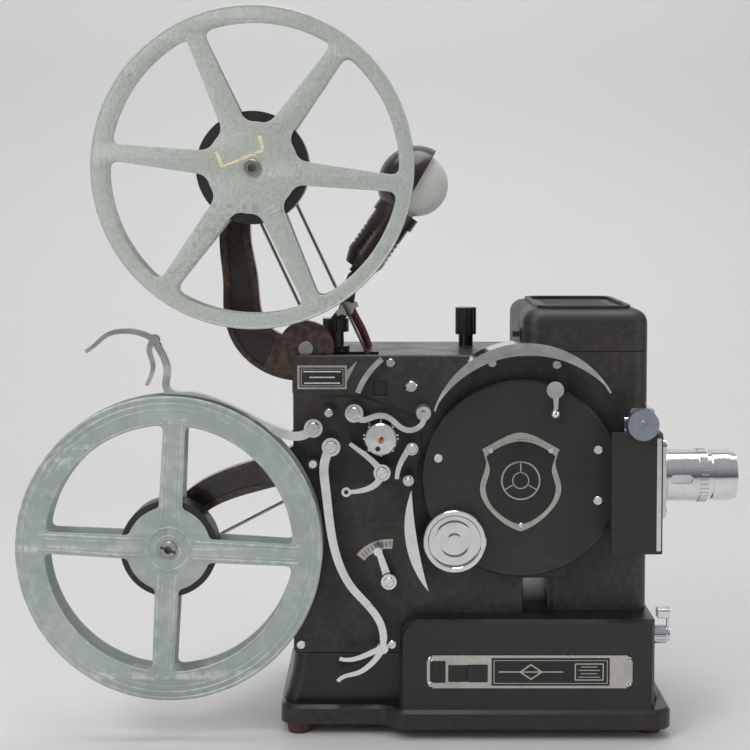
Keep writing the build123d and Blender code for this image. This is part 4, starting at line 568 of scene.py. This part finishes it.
def joined(data, mesh):
    """Adds the loose mesh to the sheet's mesh as one piece."""
    whole = bmesh.new()
    whole.from_mesh(data)
    extra = bpy.data.meshes.new("extra")
    mesh.to_mesh(extra)
    mesh.free()
    whole.from_mesh(extra)
    bpy.data.meshes.remove(extra)
    bmesh.ops.recalc_face_normals(whole, faces=whole.faces)
    whole.to_mesh(data)
    whole.free()
    return data


def supply_flange(rear):
    """Six tapered spokes, a bitten hub and a narrow rim with a rolled edge."""
    centre = centre_of("supply_front_flange")
    radius = (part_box("supply_front_flange")[1].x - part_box("supply_front_flange")[0].x) / 2 / MM
    phase = -6.3
    outlines = [round_outline(centre, radius, 180)]
    for spoke in range(6):
        start = phase + spoke * 60
        outlines.append(window(centre, 26.4, radius - 8.6, start, start + 60, 7.3, 4.7, 5.6, 5.2))
    outlines.append(round_outline(centre, SPINDLE_BORE, 40))
    if not rear:
        outlines.append(round_outline(around(centre, radius - 3.0, -66.8), 1.0, 16))
    depth = REAR_FACE if rear else FRONT_FACE
    data = plate_mesh(outlines, depth, SHEET, 0.32)
    extra = bmesh.new()
    face = depth + SHEET if rear else depth
    bead_ring(extra, centre, radius - 0.75, 1.3, 0.35, face, rear, 180)
    bead_ring(extra, centre, 8.3, 1.2, 0.25, face, rear, 60)
    for spoke in range(6):
        spot = around(centre, 26.5, phase + spoke * 60 + 3)
        tilt = phase + spoke * 60 + 93
        for size, high in ((3.9, 0.30), (2.1, 0.22)):
            one, other = around(spot, size, tilt), around(spot, -size, tilt)
            sides = [around(one, size * 0.42, tilt - 90), around(other, size * 0.42, tilt - 90),
                     around(other, size * 0.42, tilt + 90), around(one, size * 0.42, tilt + 90)]
            for first, second in zip(sides, sides[1:] + sides[:1]):
                bead_line(extra, first, second, 0.7, high, face, rear)
    if rear:
        tube_wall(extra, centre, CORE_RADIUS, SPINDLE_BORE, *CORE_DEPTHS)
    return joined(data, extra)


def takeup_flange(rear):
    """Four ribbed spokes, a scalloped hub with a raised ring, and a broad rim with grooves."""
    centre = centre_of("takeup_front_flange")
    radius = (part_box("takeup_front_flange")[1].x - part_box("takeup_front_flange")[0].x) / 2 / MM
    phase = -3.0
    outlines = [round_outline(centre, radius, 180)]
    for spoke in range(4):
        start = phase + spoke * 90
        outlines.append(window(centre, 24.6, 72.0, start, start + 90, 7.2, 6.4, 2.4, 3.4))
    outlines.append(round_outline(centre, SPINDLE_BORE, 40))
    depth = REAR_FACE if rear else FRONT_FACE
    data = plate_mesh(outlines, depth, SHEET, 0.32)
    extra = bmesh.new()
    face = depth + SHEET if rear else depth
    for ring, width, height in ((-1.1, 2.1, 0.60), (-4.6, 1.8, 0.40), (-8.0, 1.3, 0.25), (-16.0, 1.2, 0.30)):
        bead_ring(extra, centre, radius + ring, width, height, face, rear, 180)
    bead_ring(extra, centre, 12.4, 1.6, 0.55, face, rear, 80)
    bead_ring(extra, centre, 7.6, 1.2, 0.35, face, rear, 60)
    for spoke in range(4):
        angle = phase + spoke * 90
        for edge in (-1, 1):
            for off, width, height in ((4.9, 1.5, 0.45), (2.6, 0.9, 0.22)):
                inner = around(around(centre, 14.5, angle), off * edge, angle + 90)
                outer = around(around(centre, radius - 13.2, angle), off * edge * 0.92, angle + 90)
                bead_line(extra, inner, outer, width, height, face, rear)
        bead_ring(extra, around(centre, 17.8, angle), 2.6, 0.7, 0.25, face, rear, 32)
        for edge in (-1, 1):
            dot = around(around(centre, radius - 14.4, angle), 5.2 * edge, angle + 90)
            bead_ring(extra, dot, 0.75, 1.5, 0.55, face, rear, 16)
    if rear:
        tube_wall(extra, centre, CORE_RADIUS, SPINDLE_BORE, *CORE_DEPTHS)
    return joined(data, extra)


for which, build, finish in (("supply", supply_flange, "hammertone"),
                             ("takeup", takeup_flange, "reel_enamel")):
    for place, rear in (("front", False), ("rear", True)):
        node = f"{which}_{place}_flange"
        flange = piece(f"{which}_{place}_stamping", build(rear), FINISHES[finish], f"{which}_reel")
        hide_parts(node)


# ---------------------------------------------------------------- belts
def spring_belt(name, node, start, end, depth):
    """A coiled wire spring round two pulleys of equal size, which replaces the plain loop."""
    pulley, coil, wire = 12.0, 0.86, 0.34
    way = atan2(end[1] - start[1], end[0] - start[0])
    reach = hypot(end[0] - start[0], end[1] - start[1])
    total = 2 * reach + 2 * pi * pulley
    turns = int(total / 1.15)
    steps = turns * 7

    def station(distance):
        """The centreline point and outward direction at this distance, before turning to the belt's line."""
        distance %= total
        if distance < reach:
            return Vector((distance, pulley)), Vector((0, 1))
        distance -= reach
        if distance < pi * pulley:
            angle = pi / 2 - distance / pulley
            out = Vector((cos(angle), sin(angle)))
            return Vector((reach, 0)) + out * pulley, out
        distance -= pi * pulley
        if distance < reach:
            return Vector((reach - distance, -pulley)), Vector((0, -1))
        distance -= reach
        angle = -pi / 2 - distance / pulley
        out = Vector((cos(angle), sin(angle)))
        return out * pulley, out

    curve = bpy.data.curves.new(name, "CURVE")
    curve.dimensions = "3D"
    curve.bevel_depth = wire * MM
    curve.bevel_resolution = 1
    spline = curve.splines.new("POLY")
    spline.points.add(steps - 1)
    for i in range(steps):
        flat, out = station(total * i / steps)
        swing = 2 * pi * turns * i / steps
        flat = flat + out * coil * cos(swing)
        x = start[0] + flat.x * cos(way) - flat.y * sin(way)
        z = start[1] + flat.x * sin(way) + flat.y * cos(way)
        spline.points[i].co = (*at(x, depth + coil * sin(swing), z), 1)
    spline.use_cyclic_u = True
    holder = bpy.data.objects.new(name, curve)
    bpy.context.scene.collection.objects.link(holder)
    bpy.context.view_layer.update()
    data = bpy.data.meshes.new_from_object(holder.evaluated_get(bpy.context.evaluated_depsgraph_get()))
    bpy.data.objects.remove(holder)
    obj = bpy.data.objects.new(name, data)
    bpy.context.scene.collection.objects.link(obj)
    data.materials.clear()
    data.materials.append(FINISHES["belt"])
    for face in data.polygons:
        face.use_smooth = True
    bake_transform(obj)
    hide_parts(node)


SPROCKET = centre_of("film_sprocket")
SUPPLY, TAKEUP = centre_of("supply_film_roll"), centre_of("takeup_film_roll")
for name, node, far, body in (("upper_spring_belt", "upper_belt", SUPPLY, "supply_arm"),
                              ("lower_spring_belt", "lower_belt", TAKEUP, "takeup_arm")):
    low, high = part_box(node)
    spring_belt(name, node, SPROCKET, far, (low.y + high.y) / 2 / MM)


# ---------------------------------------------------------------- pilot lamp's cord
CORD_ROUTE = [(-0.07194, 0.0555, 0.27102), (-0.0755, 0.0575, 0.262), (-0.0755, 0.0605, 0.2515),
              (-0.071, 0.062, 0.2425), (-0.066, 0.0615, 0.2335), (-0.0632, 0.061, 0.2245)]
CORD_DIAMETER = 0.005
line = bpy.data.curves.new("pilot_lead", "CURVE")
line.dimensions = "3D"
line.bevel_depth = CORD_DIAMETER / 2
line.bevel_resolution = 5
line.resolution_u = 16
line.use_fill_caps = True
route = line.splines.new("NURBS")
route.points.add(len(CORD_ROUTE) - 1)
for point, place in zip(route.points, CORD_ROUTE):
    point.co = (*place, 1)
route.order_u = 3
route.use_endpoint_u = True
line.materials.append(FINISHES["cord"])
pilot_lead = bpy.data.objects.new("pilot_lead", line)
bpy.context.scene.collection.objects.link(pilot_lead)
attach(pilot_lead, "machine")
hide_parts("pilot_cord")


# ---------------------------------------------------------------- plates, inlays and small parts
def inlay(name, outlines, depth, thick, finish, body="machine", edge=0.05):
    """A thin sheet laid on a face that looks at the operator. depth is the face it lies on."""
    return piece(name, plate_mesh(outlines, depth - thick, thick, edge), finish, body)


def frame_of(centre, width, height, border, corner=0.0):
    return [box_outline(centre, width, height, corner),
            box_outline(centre, width - 2 * border, height - 2 * border, max(0.0, corner - border))]


NICKEL, BLACK, CHROME = FINISHES["nickel"], EXTRAS["plate_black"], FINISHES["chrome"]
NAME_LINE = 40.8
NAME_GROUND, NAME_LABEL, NAME_EMBLEM = (43.5, NAME_LINE), (66.0, NAME_LINE), (32.0, NAME_LINE)
BASE_FACE, NAMEPLATE_THICK = -4.0, 0.8
name_face = BASE_FACE - NAMEPLATE_THICK
inlay("nameplate_ground", [box_outline(NAME_GROUND, 69.0, 16.4, 0.5)], name_face, 0.12, BLACK)
inlay("nameplate_left", [box_outline((-22.4, NAME_LINE), 9.2, 13.0, 0.5)], name_face, 0.12, BLACK)
inlay("nameplate_line", frame_of(NAME_GROUND, 66.6, 14.0, 0.45, 0.5), name_face - 0.12, 0.10, NICKEL)
inlay("nameplate_label", [box_outline(NAME_LABEL, 17.0, 10.2, 0.4)], name_face - 0.12, 0.10, NICKEL)
inlay("nameplate_label_ground", [box_outline(NAME_LABEL, 15.6, 8.8, 0.3)], name_face - 0.22, 0.08, BLACK)
for row in range(4):
    rule = box_outline((NAME_LABEL[0], 37.8 + row * 2.0), 12.6 - row % 2 * 3, 0.5)
    inlay(f"nameplate_rule_{row}", [rule], name_face - 0.30, 0.06, NICKEL, edge=0.02)
inlay("nameplate_band", [box_outline(NAME_EMBLEM, 38.0, 0.7)], name_face - 0.12, 0.10, NICKEL)
inlay("nameplate_lozenge", [[(32, 36.0), (39, NAME_LINE), (32, 45.6), (25, NAME_LINE)],
                            [(32, 37.0), (37.5, NAME_LINE), (32, 44.6), (26.5, NAME_LINE)]],
      name_face - 0.22, 0.10, NICKEL)
screw_spots = [(x, z) for x in (-26.6, 89.2) for z in (33.4, 48.2)]


def dome(name, centre, depth, radius, height, finish, body, slot_angle):
    """A pan-head screw that looks at the operator; its slot is a thin black sheet, painted shade in place of
    a cut slot.
    """
    count = 28
    mesh = bmesh.new()
    profile = [(1.0, 0.0), (1.0, 0.35), (0.93, 0.68), (0.75, 0.88), (0.45, 0.98), (0.0, 1.0)]
    rows = []
    for share, high in profile[:-1]:
        ring = round_outline(centre, radius * share, count)
        rows.append([mesh.verts.new(at(x, depth - height * high, z)) for x, z in ring])
    tip = mesh.verts.new(at(centre[0], depth - height, centre[1]))
    base = mesh.verts.new(at(centre[0], depth, centre[1]))
    for row, following in zip(rows, rows[1:]):
        for i in range(count):
            mesh.faces.new((row[i], row[(i + 1) % count], following[(i + 1) % count], following[i]))
    for i in range(count):
        mesh.faces.new((rows[-1][i], rows[-1][(i + 1) % count], tip))
        mesh.faces.new((rows[0][(i + 1) % count], rows[0][i], base))
    bmesh.ops.recalc_face_normals(mesh, faces=mesh.faces)
    data = bpy.data.meshes.new(name)
    mesh.to_mesh(data)
    mesh.free()
    piece(name, data, finish, body, angle=40)
    turn = radians(slot_angle)
    half, wide = radius * 0.86, radius * 0.13
    corners = [(centre[0] + u * half * cos(turn) - v * wide * sin(turn),
                centre[1] + u * half * sin(turn) + v * wide * cos(turn))
               for u, v in ((-1, -1), (1, -1), (1, 1), (-1, 1))]
    # Painted shade: the slot is a black sheet laid on the head, not a cut.
    inlay(name + "_slot", [corners], depth - height * 0.96, 0.06 + height * 0.04, BLACK, body, 0.01)


for index, spot in enumerate(screw_spots):
    dome(f"nameplate_screw_{index}", spot, name_face + 0.75, 1.7, 1.3, CHROME, "machine", 20 + 55 * index)

# Instruction plate and framing scale on the front panel.
PANEL_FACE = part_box("front_plate")[0].y / MM
guide_face = PANEL_FACE - 0.7
GUIDE_PLACE = (-90.2, 211.6)
FRAMING_PIVOT = (-50.9, 91.2)
inlay("instruction_ground", [box_outline(GUIDE_PLACE, 26.6, 11.6, 0.3)], guide_face, 0.10, BLACK)
for row, width in enumerate((21.0, 15.0, 22.0)):
    rule = box_outline((GUIDE_PLACE[0], GUIDE_PLACE[1] + (row - 1) * 3.4), width, 0.7)
    inlay(f"instruction_rule_{row}", [rule], guide_face - 0.10, 0.06, EXTRAS["plate_white"], edge=0.02)
inlay("instruction_frame", frame_of(GUIDE_PLACE, 25.0, 10.2, 0.4), guide_face - 0.10, 0.06, NICKEL, edge=0.02)
for index in range(9):
    angle = 88 + index * 6
    one, other = around(FRAMING_PIVOT, 19.4, angle), around(FRAMING_PIVOT, 23.0, angle)
    mesh = bmesh.new()
    bead_line(mesh, one, other, 0.6, 0.12, PANEL_FACE - 0.6)
    data = bpy.data.meshes.new("mark")
    mesh.to_mesh(data)
    mesh.free()
    piece(f"framing_mark_{index}", data, BLACK, "machine")

# Shield on the round housing: dark ground, bright border, and a plain emblem.
SHIELD_FACE = 3.2
middle = 26.2
EMBLEM = (middle, 152)


def shield_outline(inset):
    """The shield's own outline, drawn this far inside its edge."""
    half, top, foot = 22.8 - inset, 177.2 - inset, 122.0 + inset * 1.5
    points = []
    for step in range(25):
        u = -1 + step / 12
        points.append((middle + u * half, top - 7 + 7.5 * (1 - u * u) ** 0.8 + 0.8 * cos(u * pi) - 0.8))
    right = []
    for step in range(1, 40):
        v = step / 40
        width = half * (1 - 0.10 * sin(pi * min(1, v * 2.2)) ** 2) if v < 0.45 else half * (
            1.02 * (1 - ((v - 0.45) / 0.55) ** 2.2) ** 0.75)
        right.append((width, top - 7 - (top - 7 - foot) * v))
    points += [(middle + w, z) for w, z in right]
    points.append((middle, foot))
    points += [(middle - w, z) for w, z in right[::-1]]
    return points


inlay("shield_border", [shield_outline(1.2), shield_outline(2.0)], SHIELD_FACE, 0.14, NICKEL)
inlay("shield_ground", [shield_outline(2.6)], SHIELD_FACE, 0.10, BLACK)
inlay("shield_ring", [round_outline(EMBLEM, 11.5, 60), round_outline(EMBLEM, 10.6, 60)],
      SHIELD_FACE - 0.10, 0.10, NICKEL)
inlay("shield_ring_inner", [round_outline(EMBLEM, 5.0, 40), round_outline(EMBLEM, 4.4, 40)],
      SHIELD_FACE - 0.10, 0.10, NICKEL)
for spoke in range(3):
    angle = 90 + spoke * 120
    mesh = bmesh.new()
    bead_line(mesh, around(EMBLEM, 5.0, angle), around(EMBLEM, 10.8, angle), 0.9, 0.14, SHIELD_FACE - 0.08)
    data = bpy.data.meshes.new("spoke")
    mesh.to_mesh(data)
    mesh.free()
    piece(f"shield_spoke_{spoke}", data, NICKEL, "machine")

# Sprocket face: a copper centre screw, and beside it a flat black disc, painted shade in place of a hole.
sprocket_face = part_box("film_sprocket")[0].y / MM
dome("sprocket_screw", SPROCKET, sprocket_face + 0.05, 2.2, 0.9, EXTRAS["copper"], "sprocket", 70)
# Painted shade: a black disc on the face stands for the dark inside of a hole.
inlay("sprocket_hole_painted_shade", [round_outline(around(SPROCKET, 5.6, -108), 1.5, 24)], sprocket_face, 0.05,
      BLACK, "sprocket", 0.01)

# Strips of old tape on the supply reel's hub.
tape_points = [around(SUPPLY, radius, angle)
               for radius, angle in ((22.6, 156), (17.0, 178), (11.8, 57), (18.6, 77))]
for index, (one, other) in enumerate(zip(tape_points, tape_points[1:])):
    start, end = Vector(one), Vector(other)
    way = (end - start).normalized()
    across = Vector((-way.y, way.x)) * (0.8 if index != 1 else 0.6)
    corners = [start - across, end - across * 1.5, end + across * 1.5, start + across]
    outline = [(c.x, c.y) for c in corners]
    inlay(f"tape_{index}", [outline], FRONT_FACE + 0.02, 0.14, EXTRAS["tape"], "supply_reel", 0.02)

# Bright edge strip on the lens holder.
holder_low, holder_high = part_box("lens_holder")
STRIP_WIDTH = 2.6
strip_centre = (holder_high.x / MM - STRIP_WIDTH / 2 - 0.8, (holder_low.z + holder_high.z) / 2 / MM)
strip_length = (holder_high.z - holder_low.z) / MM - 5.0
inlay("lens_holder_strip", [box_outline(strip_centre, STRIP_WIDTH, strip_length, 0.6)],
      holder_low.y / MM, 0.25, CHROME)


# ---------------------------------------------------------------- stage, light and camera
def stage_mesh():
    """A pale table top that curves up into a plain backdrop."""
    reach, bend_start, bend, top = 6.0, 0.75, 0.5, 2.6
    mesh = bmesh.new()
    profile = [(-reach, 0.0), (bend_start, 0.0)]
    for step in range(1, 13):
        angle = radians(90 * step / 12)
        profile.append((bend_start + bend * sin(angle), bend - bend * cos(angle)))
    profile.append((bend_start + bend, top))
    rows = [[mesh.verts.new((x, y, z)) for y, z in profile] for x in (-reach, reach)]
    for j in range(len(profile) - 1):
        mesh.faces.new((rows[0][j], rows[1][j], rows[1][j + 1], rows[0][j + 1]))
    data = bpy.data.meshes.new("table")
    mesh.to_mesh(data)
    mesh.free()
    return data


table = bpy.data.objects.new("table", stage_mesh())
bpy.context.scene.collection.objects.link(table)
for face in table.data.polygons:
    face.use_smooth = True
paint = Nodes("table")
sheen = paint.level(paint.noise(4), 0.3, 0.7, 0.5, 0.62)
table.data.materials.append(paint.finish((0.68, 0.675, 0.675), sheen))


def lamp(name, place, aim, size, power, colour=(1, 1, 1)):
    data = bpy.data.lights.new(name, "AREA")
    data.shape = "RECTANGLE"
    data.size, data.size_y = size
    data.energy = power
    data.color = colour
    obj = bpy.data.objects.new(name, data)
    bpy.context.scene.collection.objects.link(obj)
    obj.location = place
    obj.rotation_euler = (Vector(aim) - Vector(place)).to_track_quat("-Z", "Y").to_euler()


# Each light's place, aim, size in metres, power in watts, and colour.
TARGET = (-0.05, 0.03, 0.2)
lamp("key", (-1.05, -1.15, 1.35), TARGET, (0.7, 0.7), 11.5, (1, 0.985, 0.965))
lamp("fill", (1.25, -0.9, 0.7), TARGET, (0.35, 1.0), 4.2, (0.97, 0.985, 1))
lamp("top", (0.0, 0.0, 1.6), TARGET, (1.2, 0.7), 9)
lamp("strip", (-0.75, -1.0, 0.25), TARGET, (0.12, 0.9), 1.6)
lamp("back_wash", (0.0, 0.5, 1.6), (0.0, 1.3, 0.45), (2.4, 0.5), 8.5)

world = bpy.data.worlds.new("studio")
bpy.context.scene.world = world
world.use_nodes = True
tree = world.node_tree
sky = tree.nodes["Background"]
ramp = tree.nodes.new("ShaderNodeValToRGB")
split = tree.nodes.new("ShaderNodeSeparateXYZ")
coords = tree.nodes.new("ShaderNodeTexCoord")
lift = tree.nodes.new("ShaderNodeMapRange")
lift.inputs["From Min"].default_value = -1.0
tree.links.new(coords.outputs["Generated"], split.inputs[0])
tree.links.new(split.outputs["Z"], lift.inputs["Value"])
tree.links.new(lift.outputs["Result"], ramp.inputs["Fac"])
tree.links.new(ramp.outputs["Color"], sky.inputs["Color"])
ramp.color_ramp.elements[0].position = 0.46
ramp.color_ramp.elements[0].color = (0.10, 0.10, 0.104, 1)
ramp.color_ramp.elements[1].position = 0.86
ramp.color_ramp.elements[1].color = (0.92, 0.93, 0.95, 1)
sky.inputs["Strength"].default_value = 0.42

view = bpy.data.cameras.new("camera")
view.lens = 75.55
view.sensor_width = 36
view.shift_x = -0.0133
view.shift_y = -0.12
camera = bpy.data.objects.new("camera", view)
camera.location = (-0.0532, -0.910, 0.316)
camera.rotation_euler = (radians(86.9), 0, 0)
bpy.context.scene.collection.objects.link(camera)
bpy.context.scene.camera = camera
bpy.context.scene.view_settings.view_transform = "Standard"
